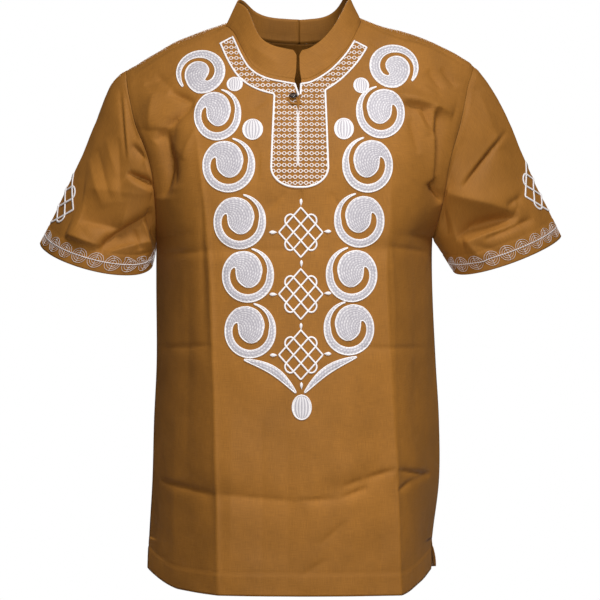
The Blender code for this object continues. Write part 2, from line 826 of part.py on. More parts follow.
def leaf_stations(row):
    _, x0, z0, x1, z1, half_width, bow = row
    along = Vector((x1 - x0, z1 - z0))
    across = Vector((-along.y, along.x)).normalized()
    if across.y < 0:
        across.negate()
    stations = []
    for share in np.linspace(0.02, 0.98, LEAF_STEPS):
        rise = bow * math.sin(math.pi * float(share))
        middle = Vector((x0, z0)) + along * float(share) + across * rise
        half = half_width * (0.12 + 0.88 * math.sin(math.pi * float(share)) ** 0.8)
        first, second = middle - across * half, middle + across * half
        stations.append(((first.x, first.y), (second.x, second.y)))
    return stations


def neckline_at(side, share):
    """Place of the front neckline at a share of its half width, as if on the right."""
    half = NECK_HALF[side_index(side)]
    shoulder_z = curve_at(RIDGE, half, 1 + side_index(side)) - curve_at(RIDGE, half, 3)
    rise = curve_at(NECKLINE, share, 1 + side_index(side))
    return Vector((half * share, mix(NECK_FRONT_Z, shoulder_z, rise)))


def band_edges(side):
    """Inner and outer edge of half of the neck band, from the slit to the shoulder."""
    pairs = []
    shoulder_start = BAND_START_SHOULDER[side_index(side)]
    for way in np.linspace(0.0, 1.0, BAND_STEPS):
        share = BAND_END * float(way)
        ahead = neckline_at(side, share + 0.01)
        along = ahead - neckline_at(side, max(share - 0.01, 0.0))
        out = Vector((along.y, -along.x)).normalized()
        start = mix(BAND_START_MIDDLE, shoulder_start, float(way))
        foot = neckline_at(side, share)
        pair = [foot + out * reach for reach in (start, start + BAND_WIDTH)]
        for place in pair:
            place.x = max(place.x, BAND_SLIT_HALF)
        pairs.append(pair)
    return pairs


def band_stations(side):
    return [tuple((side * place.x, place.y) for place in pair) for pair in band_edges(side)]


def band_outer_z(side, x):
    """Height of the band's outer edge at a distance from the middle."""
    outer = [pair[1] for pair in band_edges(side)]
    return float(np.interp(x, [place.x for place in outer], [place.y for place in outer]))


def make_bib(tree, finish, collection):
    """Plate of openwork stitching round the slit, with a round foot."""
    middle = (BIB_LEFT + BIB_RIGHT) / 2
    full = (BIB_RIGHT - BIB_LEFT) / 2
    columns = [(-1, s) for s in BIB_SHARES] + [(-1, None), (1, None)]
    columns += [(1, s) for s in reversed(BIB_SHARES)]
    heights = np.linspace(0.0, 1.0, BIB_ROWS + 1)
    grid = []
    normals = {}
    for share in heights:
        line = []
        for side, across in columns:
            edge = middle + side * full
            near_x = side * BIB_SLIT_HALF if across is None else edge * across
            top = band_outer_z(side, abs(near_x)) - BIB_TOP_GAP
            z = mix(BIB_FOOT_Z, top, float(share) ** BIB_ROW_POWER)
            below = max((BIB_CURVE_Z - z) / (BIB_CURVE_Z - BIB_FOOT_Z), 0.0)
            x = near_x
            if across is not None:
                spread = mix(BIB_FOOT_SHARE, 1.0, math.sqrt(max(1 - below ** 2, 0.0)))
                x = mix(side * BIB_SLIT_HALF, near_x, spread)
            point, normal = place_on(tree, x, z)
            line.append(point)
            normals[place_key(point)] = normal
        grid.append(line)
    slit_column = len(BIB_SHARES)
    omitted = {
        (row, slit_column)
        for row in range(BIB_ROWS)
        if grid[row][slit_column].z > SLIT_FOOT_Z - 0.004
    }
    piece = {"name": "bib", "grid": grid, "omitted": omitted, "seams": ()}
    top = STITCH_LIFT + STITCH_THICKNESS
    return make_wall(piece, normals, STITCH_LIFT, top, finish, collection)


def loop_stations():
    """Edge pairs of the button loop: out from the slit's right edge and back to it."""
    x, z = BUTTON_X, BUTTON_Z - LOOP_DROP
    stations = [((LOOP_END_X, z + LOOP_OUTER), (LOOP_END_X, z + LOOP_INNER))]
    for degrees in np.linspace(90.0, 270.0, 13):
        angle = math.radians(float(degrees))
        stations.append(tuple(
            (x + radius * math.cos(angle), z + radius * math.sin(angle))
            for radius in (LOOP_OUTER, LOOP_INNER)
        ))
    stations.append(((LOOP_END_X, z - LOOP_OUTER), (LOOP_END_X, z - LOOP_INNER)))
    return stations


def make_button(tree, base_lift, collection):
    """Turned button with a shank, set square to the cloth."""
    point, normal = place_on(tree, BUTTON_X, BUTTON_Z)
    back = LOOP_THICKNESS + 2 * SEAM_GAP
    front = back + BUTTON_THICKNESS
    profile = (
        (0.0, front - 0.0006),
        (BUTTON_RADIUS * 0.50, front - 0.0005),
        (BUTTON_RADIUS * 0.70, front),
        (BUTTON_RADIUS * 0.92, front - 0.0004),
        (BUTTON_RADIUS, front - 0.0012),
        (BUTTON_RADIUS * 0.85, back),
        (SHANK_RADIUS, back),
        (SHANK_RADIUS, 0.0),
        (0.0, 0.0),
    )
    mesh = bpy.data.meshes.new("button")
    points = [(radius, 0.0, height) for radius, height in profile]
    mesh.from_pydata(points, [(i, i + 1) for i in range(len(points) - 1)], [])
    button = link_piece("button", mesh, BUTTON_FINISH, collection)
    screw = button.modifiers.new("turn", "SCREW")
    screw.steps = screw.render_steps = ROUND_SEGMENTS
    screw.use_merge_vertices = True
    screw.merge_threshold = 0.00001
    screw.use_smooth_shade = True
    button.rotation_euler = normal.to_track_quat("Z", "Y").to_euler()
    button.location = point + normal * (base_lift + SEAM_GAP)
    return button


def main():
    for existing in list(bpy.data.objects):
        bpy.data.objects.remove(existing, do_unlink=True)
    collection = bpy.data.collections.new(NAME)
    bpy.context.scene.collection.children.link(collection)
    front, back = make_front(), make_back()
    sleeves = [make_sleeve(front, back, row) for row in SLEEVES]
    cloth = [front, back, make_collar(front, back)] + sleeves
    normals = seam_normals(cloth)
    for piece in cloth:
        thickness = piece.get("thickness", CLOTH)
        make_wall(piece, normals, -thickness, 0.0, CLOTH_FINISH, collection)
    tree = surface_tree(front)
    for row in SCROLLS:
        make_strip(row[0], tree, scroll_stations(row), THREAD_FINISH, collection)
    for row in LEAVES:
        make_strip(row[0], tree, leaf_stations(row), THREAD_FINISH, collection)
    for name, side in NECK_BANDS:
        make_strip(name, tree, band_stations(side), THREAD_FINISH, collection)
    for row in OVALS:
        make_oval(row, tree, THREAD_FINISH, collection)
    make_bib(tree, THREAD_FINISH, collection)
    above_bib = STITCH_LIFT + STITCH_THICKNESS
    make_strip("button_loop", tree, loop_stations(), CLOTH_FINISH, collection,
               above_bib + SEAM_GAP, LOOP_THICKNESS)
    make_button(tree, above_bib, collection)


main()
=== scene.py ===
"""Looks for the embroidered shirt: fine cloth shells, raised stitching, light and camera.

The shells follow the same tables as the solids they replace, on a finer grid. Lengths are
in metres, but for the rows of creases read off the picture, which say what they are in.
Embroidery is laid on the finished cloth, so that it follows every fold.
"""

import math

import bmesh
import bpy
import numpy as np
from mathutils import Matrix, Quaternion, Vector, noise
from mathutils.bvhtree import BVHTree


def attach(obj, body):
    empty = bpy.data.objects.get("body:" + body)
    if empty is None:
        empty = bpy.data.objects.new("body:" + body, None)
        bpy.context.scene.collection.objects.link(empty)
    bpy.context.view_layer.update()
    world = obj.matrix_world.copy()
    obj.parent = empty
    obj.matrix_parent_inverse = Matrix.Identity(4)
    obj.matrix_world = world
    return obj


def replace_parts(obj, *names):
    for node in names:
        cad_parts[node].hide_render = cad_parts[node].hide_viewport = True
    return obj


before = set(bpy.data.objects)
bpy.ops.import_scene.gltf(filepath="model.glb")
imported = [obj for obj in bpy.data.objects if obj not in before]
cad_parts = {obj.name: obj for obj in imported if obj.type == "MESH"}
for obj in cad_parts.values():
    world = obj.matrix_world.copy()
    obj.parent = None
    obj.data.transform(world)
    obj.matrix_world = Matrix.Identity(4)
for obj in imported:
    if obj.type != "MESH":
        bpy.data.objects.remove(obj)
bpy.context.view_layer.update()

# Camera, at the photograph's angle
CAMERA_PLACE = (0.0027, -2.6, -0.3685)
CAMERA_LENS = 116.4
CAMERA_SENSOR = 36.0

# Size of a picture point on the front and, nearer the middle of the depth, on the sleeves
PICTURE_MIDDLE = 300
FRONT_POINT = 0.0012757
SLEEVE_POINT = 0.00132

# Least length that a vector is divided by
TINY = 1e-12

# Fineness of the shells against the grid of the solids, across and upwards
FINE = 8
FINE_ROWS = 10
FINE_RINGS = 10

# Cloth
CLOTH = 0.0009
COLLAR_CLOTH = 0.0017

# Relief of the cloth
CREST_POWER = 1.25
CREASE_TAPER = 0.6
FOLD_TAPER = 0.7
SEAM_FADE = 0.007
FRONT_FADE = 0.010
SEAM_DIP = 0.0005
SEAM_DIP_WIDTH = 0.0013
SEAM_RISE = 0.0003
SEAM_RISE_FROM = 0.004
SEAM_ALLOWANCE = 0.012
HEM_RISE = 0.00045
HEM_STEP = 0.003
HEM_STITCH_DIP = 0.00035

# Rumples: size and height of each layer, and how far the pattern moves from piece to piece
RUMPLES = ((0.090, 0.0020), (0.034, 0.0008), (0.013, 0.00020))
RUMPLE_SHIFT = (7.3, 3.1, 5.7)

# Heights
HEM_Z = -0.745
HEM_STITCH_Z = -0.716
VENT_TOP_Z = -0.687
HEM_CORNER_TOP_Z = -0.667
UNDERARM_Z = -0.285
DOME_Z = -0.200
SMOOTH_FROM_Z = -0.200
SMOOTH_TO_Z = -0.080
SLIT_FOOT_Z = -0.196

# Neck and collar, half the neck's width to the left and to the right
NECK_HALF = (0.096, 0.084)
NECK_FRONT_Z = -0.082
NECK_BACK_Z = -0.018
NECK_MIDDLE_Y = -0.012
COLLAR_TURN_Y = -0.06
COLLAR_HEIGHT = 0.041
COLLAR_BACK_HEIGHT = 0.033
COLLAR_CORNER_DROP = 0.007
COLLAR_CORNER_POWER = 1.6
COLLAR_END_NARROW = 0.0020
COLLAR_LEVELS = 16
COLLAR_LEAN = ((-0.085, 17.0), (-0.020, 25.0), (0.060, 9.0))

# Grid of the body's pieces, counted from the middle to one side and from hem to shoulder
NECK_STEPS = (0.0, 0.09, 0.27, 0.50, 0.70, 0.86, 0.96, 1.0)
NECK_COLUMNS = len(NECK_STEPS) - 1
FACET_COLUMNS = 10
SIDE_COLUMNS = 5
HALF_COLUMNS = FACET_COLUMNS + SIDE_COLUMNS
LOWER_ROWS = 17
UPPER_ROWS = 12
RIDGE_CREASE_X = 0.138

# Neckline: share of its half width, share of its rise from the middle to the shoulder at
# the front left, the front right and the back
NECKLINE = (
    (0.00, 0.00, 0.00, 0.00),
    (0.18, 0.03, 0.02, 0.01),
    (0.44, 0.10, 0.16, 0.04),
    (0.62, 0.24, 0.32, 0.11),
    (0.75, 0.49, 0.47, 0.23),
    (0.87, 0.81, 0.66, 0.45),
    (0.95, 0.94, 0.85, 0.70),
    (1.00, 1.00, 1.00, 1.00),
)

# How the body closes over the shoulders
STRAIGHT_RISE = DOME_Z - UNDERARM_Z
TURN_RADIUS = 0.17
FACET_RISE = 0.07
ROUND_POWER = 2.3
CREASE_FADES_FROM = 0.55

# Hem and side vents
HEM_CORNER_POWER = 1.5
HEM_CORNER = 0.045
HEM_CORNER_RISE = 0.019
VENT_SPREAD_Y = 0.006
VENT_SPREAD_X = (0.001, 0.007)
VENT_REACH = 0.050

# Sleeves
SLEEVE_RINGS = 10
SLEEVE_HEM_DEPTH = 0.052
SLEEVE_FOLD_SHARPNESS = 0.85
DROOP_INWARD = 0.15

# Body sections: height, half width left and right, crease left and right, depth to the
# front and to the back, roundness of the sides
BODY = (
    (HEM_Z, 0.2010, 0.1780, 0.1005, 0.1320, 0.1380, 0.1300, 0.30),
    (-0.690, 0.1997, 0.1796, 0.1020, 0.1305, 0.1375, 0.1290, 0.30),
    (-0.610, 0.1952, 0.1890, 0.1032, 0.1275, 0.1360, 0.1260, 0.31),
    (-0.530, 0.1930, 0.1890, 0.1055, 0.1230, 0.1350, 0.1220, 0.33),
    (-0.450, 0.1895, 0.1845, 0.1080, 0.1190, 0.1340, 0.1180, 0.35),
    (-0.350, 0.1900, 0.1800, 0.1105, 0.1130, 0.1315, 0.1160, 0.42),
    (-0.285, 0.1900, 0.1800, 0.1170, 0.1160, 0.1300, 0.1160, 0.47),
    (-0.220, 0.1900, 0.1850, 0.1240, 0.1190, 0.1280, 0.1180, 0.60),
    (-0.150, 0.1900, 0.1850, 0.1300, 0.1240, 0.1190, 0.1170, 0.80),
    (-0.080, 0.1900, 0.1850, 0.1360, 0.1320, 0.1000, 0.1130, 1.00),
    (0.000, 0.1900, 0.1850, 0.1380, 0.1380, 0.0850, 0.1120, 1.00),
    (0.030, 0.1900, 0.1850, 0.1380, 0.1380, 0.0800, 0.1120, 1.00),
)
WIDTH, CREASE, DEPTH, ROUNDNESS = (1, 2), (3, 4), (5, 6), 7

# Armhole seam: height, share of the side that is left in front of it, reach left and right
ARMHOLE = (
    (-0.285, 1.00, 0.190, 0.180),
    (-0.275, 0.86, 0.189, 0.183),
    (-0.260, 0.76, 0.188, 0.187),
    (-0.230, 0.66, 0.189, 0.193),
    (-0.200, 0.60, 0.192, 0.197),
    (-0.170, 0.575, 0.200, 0.203),
    (-0.140, 0.57, 0.212, 0.211),
    (-0.110, 0.57, 0.220, 0.218),
    (-0.085, 0.58, 0.226, 0.224),
    (-0.060, 0.60, 0.230, 0.233),
    (-0.030, 0.62, 0.240, 0.240),
)

# Shoulder ridge: distance from the middle, height left and right, drop of the seam in
# front of it
RIDGE = (
    (0.0000, 0.0080, 0.0120, 0.0060),
    (0.0700, 0.0070, 0.0135, 0.0065),
    (0.0840, 0.0045, 0.0085, 0.0070),
    (0.0960, 0.0025, 0.0035, 0.0070),
    (0.1080, -0.0015, -0.0010, 0.0090),
    (0.1250, -0.0067, -0.0050, 0.0120),
    (0.1370, -0.0112, -0.0078, 0.0135),
    (0.1650, -0.0230, -0.0165, 0.0115),
    (0.1910, -0.0378, -0.0287, 0.0100),
    (0.2130, -0.0515, -0.0405, 0.0100),
    (0.2330, -0.0630, -0.0540, 0.0100),
    (0.2470, -0.0720, -0.0690, 0.0100),
)

# Slit: height, half opening
SLIT = (
    (SLIT_FOOT_Z, 0.0005),
    (-0.117, 0.0005),
    (-0.105, 0.0014),
    (NECK_FRONT_Z, 0.0045),
)
SLIT_CLOSED = 0.0004

# Sleeves: name, side, outer x and z of the hem, inner x and z, droop in front and
# behind, bulge of the cap and the share of the length at which it is fullest
SLEEVES = (
    ("sleeve_left", -1, -0.3457, -0.2920, -0.1940, -0.3210, 0.024, 0.005, 0.011, 0.15),
    ("sleeve_right", 1, 0.3524, -0.2827, 0.2090, -0.3300, 0.014, 0.006, 0.010, 0.26),
)

# Main folds, as in the solids: x and z of both ends, half width, height above the cloth
FRONT_FOLDS = (
    (-0.168, -0.130, -0.176, -0.205, 0.013, -0.0060),
    (-0.190, -0.160, -0.134, -0.116, 0.011, -0.0050),
    (0.118, -0.098, 0.186, -0.116, 0.013, 0.0050),
    (0.181, -0.112, 0.180, -0.228, 0.012, -0.0055),
    (-0.118, -0.215, -0.116, -0.450, 0.014, -0.0025),
    (-0.150, -0.304, -0.040, -0.300, 0.012, -0.0020),
    (0.060, -0.306, 0.170, -0.300, 0.012, -0.0025),
    (-0.180, -0.612, 0.000, -0.624, 0.015, -0.0030),
    (0.010, -0.626, 0.115, -0.590, 0.015, -0.0030),
    (0.125, -0.590, 0.158, -0.606, 0.012, -0.0030),
    (-0.030, -0.235, -0.080, -0.285, 0.012, -0.0020),
)
BACK_FOLDS = (
    (-0.170, -0.135, -0.120, -0.190, 0.014, -0.0050),
    (0.172, -0.130, 0.118, -0.188, 0.014, -0.0055),
    (-0.060, -0.050, 0.058, -0.055, 0.014, -0.0030),
    (-0.150, -0.318, 0.140, -0.308, 0.014, -0.0025),
    (-0.165, -0.600, 0.120, -0.615, 0.015, -0.0030),
    (0.110, -0.250, 0.104, -0.470, 0.014, -0.0025),
)
SLEEVE_FOLDS = (
    (-0.208, -0.168, -0.190, -0.192, 0.010, -0.0035),
    (-0.258, -0.305, -0.196, -0.280, 0.012, -0.0040),
    (0.262, -0.160, 0.214, -0.225, 0.011, -0.0050),
    (0.286, -0.262, 0.214, -0.288, 0.011, -0.0045),
)

# Depth from which the nearest cloth is looked for beside the front
FRONT_Y = -0.13

# Rounds of the search for a place on a sleeve
SLEEVE_SEARCHES = 6

# Distance between the points of stitched edges and of cords
STITCH_STEP = 0.0011
CORD_STEP = 0.0013

# Chain stitch: distance between rows, height of the links and how low every second one
# is, length of a link in points of the edge, height of the pad below, and shades: painted
# shade at the pad's edges, in the grooves and on the lower links, and how unevenly bright
# the links are
ROW_PITCH = 0.0033
ROW_HEIGHT = 0.00075
LOW_LINK = 0.55
CHAIN_STATIONS = 2
PAD_BASE = 0.00020
PAD_CROWN = 0.00085
PAD_FULL_WIDTH = 0.008
PAD_NARROWEST = 1e-5
PAD_EDGE_SHADE = 0.9
GROOVE_SHADE = 0.20
LINK_SHADE = 0.55
LINK_UNEVEN = 0.40

# Outline cords of the scrolls, leaves and ovals
OUTLINE_LIFT = 0.00055
OUTLINE_WIDTH = 0.00085
OUTLINE_HEIGHT = 0.00070
OUTLINE_POINTS = 60

# Satin columns of the ovals
OVAL_ROWS = 20
OVAL_COLUMNS = 6
OVAL_CROWN = 0.0014
OVAL_GROOVE = 0.0004

# Cords of the knots, their loops and how far they weave over and under
KNOT_STEP = 0.0016
KNOT_LIFT = 0.00070
KNOT_CORD = 0.00118
KNOT_CORD_HEIGHT = 0.00065
KNOT_LOOP = 0.0062
KNOT_WEAVE = 0.00035
KNOT_RUN_POINTS = 30
KNOT_TURN_POINTS = 12

# All cords: thickness of an open end, sides, where the underside begins and the painted shade on
# it
CORD_END = 0.35
CORD_SIDES = 8
FINE_CORD_SIDES = 6
UNDERSIDE_FROM = -0.2
UNDERSIDE_SHADE = 0.55

# Beads: flatness, where they are fullest and how thin they end
BEAD_LIFT = 0.0006
BEAD_STEP = 0.0006
BEAD_SIDES = 8
BEAD_FLATNESS = 0.6
BEAD_FULLEST = 0.75
BEAD_THIN = 0.12

# Size of a scroll, and shape of a leaf's tips
SCROLL_RADIUS = 0.0331
SCROLL_POINTS = 500
LEAF_TIP = 0.12
LEAF_ROUNDNESS = 0.8

# Outline of a scroll of radius 1: turn and radius of its outer edge, then of its inner
# edge, with turns in degrees clockwise from the top
SCROLL_OUTLINE = (
    (8.0, 1.06, 8.0, 1.04),
    (45.0, 1.04, 45.0, 0.92),
    (90.0, 1.00, 90.0, 0.75),
    (135.0, 1.02, 135.0, 0.745),
    (180.0, 1.03, 180.0, 0.75),
    (225.0, 1.02, 225.0, 0.745),
    (270.0, 1.00, 268.0, 0.73),
    (298.0, 1.01, 288.0, 0.71),
    (326.0, 1.01, 299.0, 0.66),
    (352.0, 0.94, 303.0, 0.59),
    (378.0, 0.83, 295.0, 0.51),
    (410.0, 0.66, 272.0, 0.45),
    (450.0, 0.51, 242.0, 0.43),
    (480.0, 0.48, 220.0, 0.42),
    (510.0, 0.47, 203.0, 0.43),
    (534.0, 0.46, 190.0, 0.45),
)

# Outline of the two uppermost scrolls, which start lower down, in the same order
TOP_SCROLL_OUTLINE = (
    (228.0, 1.00, 228.0, 0.94),
    (250.0, 1.00, 250.0, 0.86),
    (285.0, 1.00, 285.0, 0.80),
    (320.0, 1.00, 320.0, 0.74),
    (355.0, 1.00, 355.0, 0.68),
    (390.0, 1.01, 390.0, 0.65),
    (425.0, 1.02, 425.0, 0.63),
    (460.0, 1.02, 460.0, 0.62),
    (492.0, 1.02, 488.0, 0.60),
    (520.0, 1.02, 506.0, 0.55),
    (545.0, 0.98, 514.0, 0.47),
    (565.0, 0.86, 512.0, 0.40),
    (590.0, 0.72, 500.0, 0.36),
    (620.0, 0.64, 482.0, 0.34),
    (655.0, 0.58, 462.0, 0.34),
    (690.0, 0.52, 445.0, 0.35),
    (725.0, 0.45, 425.0, 0.37),
    (760.0, 0.40, 408.0, 0.38),
)

# Scrolls: name, side, x and z of the middle, width and height against the common size
SCROLLS = (
    ("scroll_left_1", -1, -0.1275, -0.0705, 0.95, 0.90),
    ("scroll_left_2", -1, -0.1035, -0.1300, 0.90, 0.98),
    ("scroll_left_3", -1, -0.0885, -0.1965, 1.00, 1.00),
    ("scroll_left_4", -1, -0.0742, -0.2690, 0.99, 1.00),
    ("scroll_left_5", -1, -0.0636, -0.3375, 0.98, 0.99),
    ("scroll_left_6", -1, -0.0607, -0.4080, 0.97, 1.00),
    ("scroll_right_1", 1, 0.1260, -0.0630, 0.95, 0.90),
    ("scroll_right_2", 1, 0.1063, -0.1265, 0.93, 1.00),
    ("scroll_right_3", 1, 0.0890, -0.1960, 0.96, 1.02),
    ("scroll_right_4", 1, 0.0783, -0.2672, 0.95, 0.99),
    ("scroll_right_5", 1, 0.0684, -0.3365, 0.97, 1.00),
    ("scroll_right_6", 1, 0.0650, -0.4050, 0.95, 0.98),
)

# Satin ovals: x and z of the middle, half width, half height
OVALS = (
    ("oval_left_upper", -0.0820, -0.0885, 0.0098, 0.0092),
    ("oval_left_lower", -0.0580, -0.1500, 0.0125, 0.0132),
    ("oval_right_upper", 0.0820, -0.0905, 0.0096, 0.0100),
    ("oval_right_lower", 0.0590, -0.1490, 0.0120, 0.0134),
    ("oval_foot", 0.0049, -0.5050, 0.0120, 0.0155),
)

# Leaves from the last scrolls to the oval below them: x and z of both ends, half width,
# bow upwards
LEAVES = (
    ("leaf_left", -0.0680, -0.4445, -0.0025, -0.4862, 0.0050, 0.0080),
    ("leaf_right", 0.0745, -0.4410, 0.0085, -0.4862, 0.0048, 0.0072),
)

# Lattice knots down the middle: x and z of the middle, half width, half height
KNOTS = (
    (0.0037, -0.2824, 0.0280, 0.0318),
    (0.0037, -0.3611, 0.0280, 0.0320),
    (0.0038, -0.4384, 0.0280, 0.0315),
)

# Beads between the knots and at their sides: x and z of the full end and the thin end,
# half width
BEADS = (
    (0.0040, -0.2394, 0.0040, -0.2484, 0.0020),
    (0.0045, -0.3177, 0.0045, -0.3267, 0.0020),
    (0.0040, -0.3976, 0.0040, -0.4066, 0.0020),
    (0.0045, -0.4729, 0.0045, -0.4819, 0.0020),
    (-0.0365, -0.2823, -0.0262, -0.2823, 0.0024),
    (0.0425, -0.2812, 0.0330, -0.2812, 0.0024),
    (-0.0362, -0.3614, -0.0262, -0.3614, 0.0024),
    (0.0425, -0.3600, 0.0330, -0.3600, 0.0024),
    (-0.0355, -0.4387, -0.0262, -0.4387, 0.0024),
    (0.0425, -0.4370, 0.0330, -0.4370, 0.0024),
)

# Neck band, measured out from the neckline in the front view
BAND_STEPS = 40
BAND_BESIDE = 0.01
BAND_SLIT_HALF = 0.0034
BAND_END = 0.87
BAND_START_MIDDLE = 0.0085
BAND_START_SHOULDER = (0.0050, 0.0030)
BAND_WIDTH = 0.0182

# Bib below the band
BIB_LEFT = -0.0354
BIB_RIGHT = 0.0401
BIB_TOP_LEFT = -0.0318
BIB_TOP_RIGHT = 0.0366
BIB_FOOT_Z = -0.2260
BIB_CURVE_Z = -0.1990
BIB_CURVE_POINTS = 20
BIB_FOOT_SHARE = 0.10

# Raised borders of the band and the bib, and the narrow ones beside the slit
BORDER_WIDTH = 0.0027
BORDER_HEIGHT = 0.0009
BORDER_LIFT = 0.0008
BORDER_STEP = 0.0015
SLIT_PIPING = 0.00085
SLIT_PIPING_WIDTH = 0.0015
SLIT_PIPING_TOP = -0.1175

# Linked rings that fill the band and the bib
LATTICE_TOP = -0.0220
LATTICE_ROW = 0.00759
LATTICE_X = 0.0035
LATTICE_COLUMN = 0.0070
LATTICE_REACH = 18
LATTICE_RING = 0.0021
LATTICE_POINTS = 16
LATTICE_LINK_STEP = 0.0008
LATTICE_CORD = 0.00070
LATTICE_LIFT = 0.0005

# Button and its loop
BUTTON_X = -0.0060
BUTTON_Z = -0.1085
BUTTON_SEGMENTS = 48
BUTTON_TILT = -0.6
BUTTON_PROFILE = (
    (0.0018, 0.0012),
    (0.0018, 0.0035),
    (0.0049, 0.0036),
    (0.0056, 0.0042),
    (0.00575, 0.0049),
    (0.0054, 0.0057),
    (0.0046, 0.0061),
    (0.0040, 0.0059),
    (0.0030, 0.0055),
    (0.0012, 0.0053),
    (0.0004, 0.0053),
)
LOOP_DROP = 0.0022
LOOP_RADIUS = 0.0056
LOOP_HALF = 0.0014
LOOP_END_X = 0.0052
LOOP_LIFT = 0.0022
LOOP_POINTS = 30
LOOP_STEP = 0.0008
LOOP_FLATNESS = 0.7

# Wheels round the sleeve hems, and above them the knots: half width, half height, cord
WHEEL_SPACING = 0.0226
WHEEL_ABOVE = 0.0150
WHEEL_RADII = (0.0100, 0.0072, 0.0044)
WHEEL_LINE = 0.00045
WHEEL_CORD = 0.00022
WHEEL_LIFT = 0.0006
WHEEL_FINENESS = 3200
WHEEL_LINE_POINTS = 240
WHEEL_BAR_STEP = 0.0015
SLEEVE_KNOT_ABOVE = (0.068, 0.074)
SLEEVE_KNOT = (0.0360, 0.0360, 0.00145)

# Depth of the hems
SLEEVE_HEM = 0.028
HEM_DEPTH = 0.029

# Materials
COTTON = (0.350, 0.145, 0.0210)
WHITE_THREAD = (0.98, 0.955, 0.965)
# Painted shade of the white thread, in its grooves and under its cords
WHITE_THREAD_PAINTED_SHADE = (0.30, 0.28, 0.34)
CREAM_THREAD = (0.90, 0.80, 0.74)
# Painted shade of the cream thread, under its cords
CREAM_THREAD_PAINTED_SHADE = (0.36, 0.20, 0.09)
BLACK = (0.008, 0.007, 0.007)

# Noise: detail, usual range, scales along the cloth's own directions or in space
NOISE_DETAIL = 2.0
NOISE_RANGE = (0.3, 0.7)
SLUB_SCALES = ((1400.0, 70.0, 1.0), (70.0, 1400.0, 1.0))
SLUB_RANGE = (0.7, 1.3)
BROAD_SCALE = 7.0
PATCH_SCALES = (30.0, 30.0, 16.0)
WEAVE_SCALE = 220.0
THREAD_SCALE = 900.0
THREAD_BROAD_SCALE = 60.0
GLOSS_SCALE = 400.0
FLOOR_SCALE = 30.0

# What the noise turns into: tone, or roughness
SLUB_TONE = (0.86, 1.12)
CLOTH_TONE = (0.92, 1.06)
CLOTH_ROUGH = (0.62, 0.76)
THREAD_DEPTH = (0.9, 1.05)
THREAD_TONE = (0.90, 1.06)
THREAD_ROUGH = (0.45, 0.62)
GLOSS_ROUGH = (0.10, 0.20)
GLOSS_BRIGHTER = 1.8
FLOOR_ROUGH = (0.8, 0.9)
FLOOR_GREYS = (0.84, 0.88)

# Bumps: height in metres, strength
SLUB_BUMP = (0.00025, 0.5)
WEAVE_BUMP = (0.00008, 0.4)
THREAD_BUMP = (0.0002, 0.5)
GLOSS_BUMP = (0.0001, 0.2)
FLOOR_BUMP = (0.001, 0.1)

# Stage and light
ROOM_COLOUR = (1.0, 0.75, 0.58)
ROOM_STRENGTH = 0.08
BACKDROP_STRENGTH = 1.0
FLOOR_RADIUS = 3.5
FLOOR_Z = -1.42
KEY_PLACE = (0.03, -0.87, -0.13)
KEY_AIM = (0.03, 0.0, -0.25)
KEY_SIZE = (0.25, 1.30)
KEY_POWER = 5.6

# Suns: name, strength, angle and direction of the light
SUNS = (
    ("high", 2.0, 14.0, (-0.20, 0.48, -0.85)),
    ("rear", 2.2, 30.0, (0.05, -1.0, -0.40)),
)
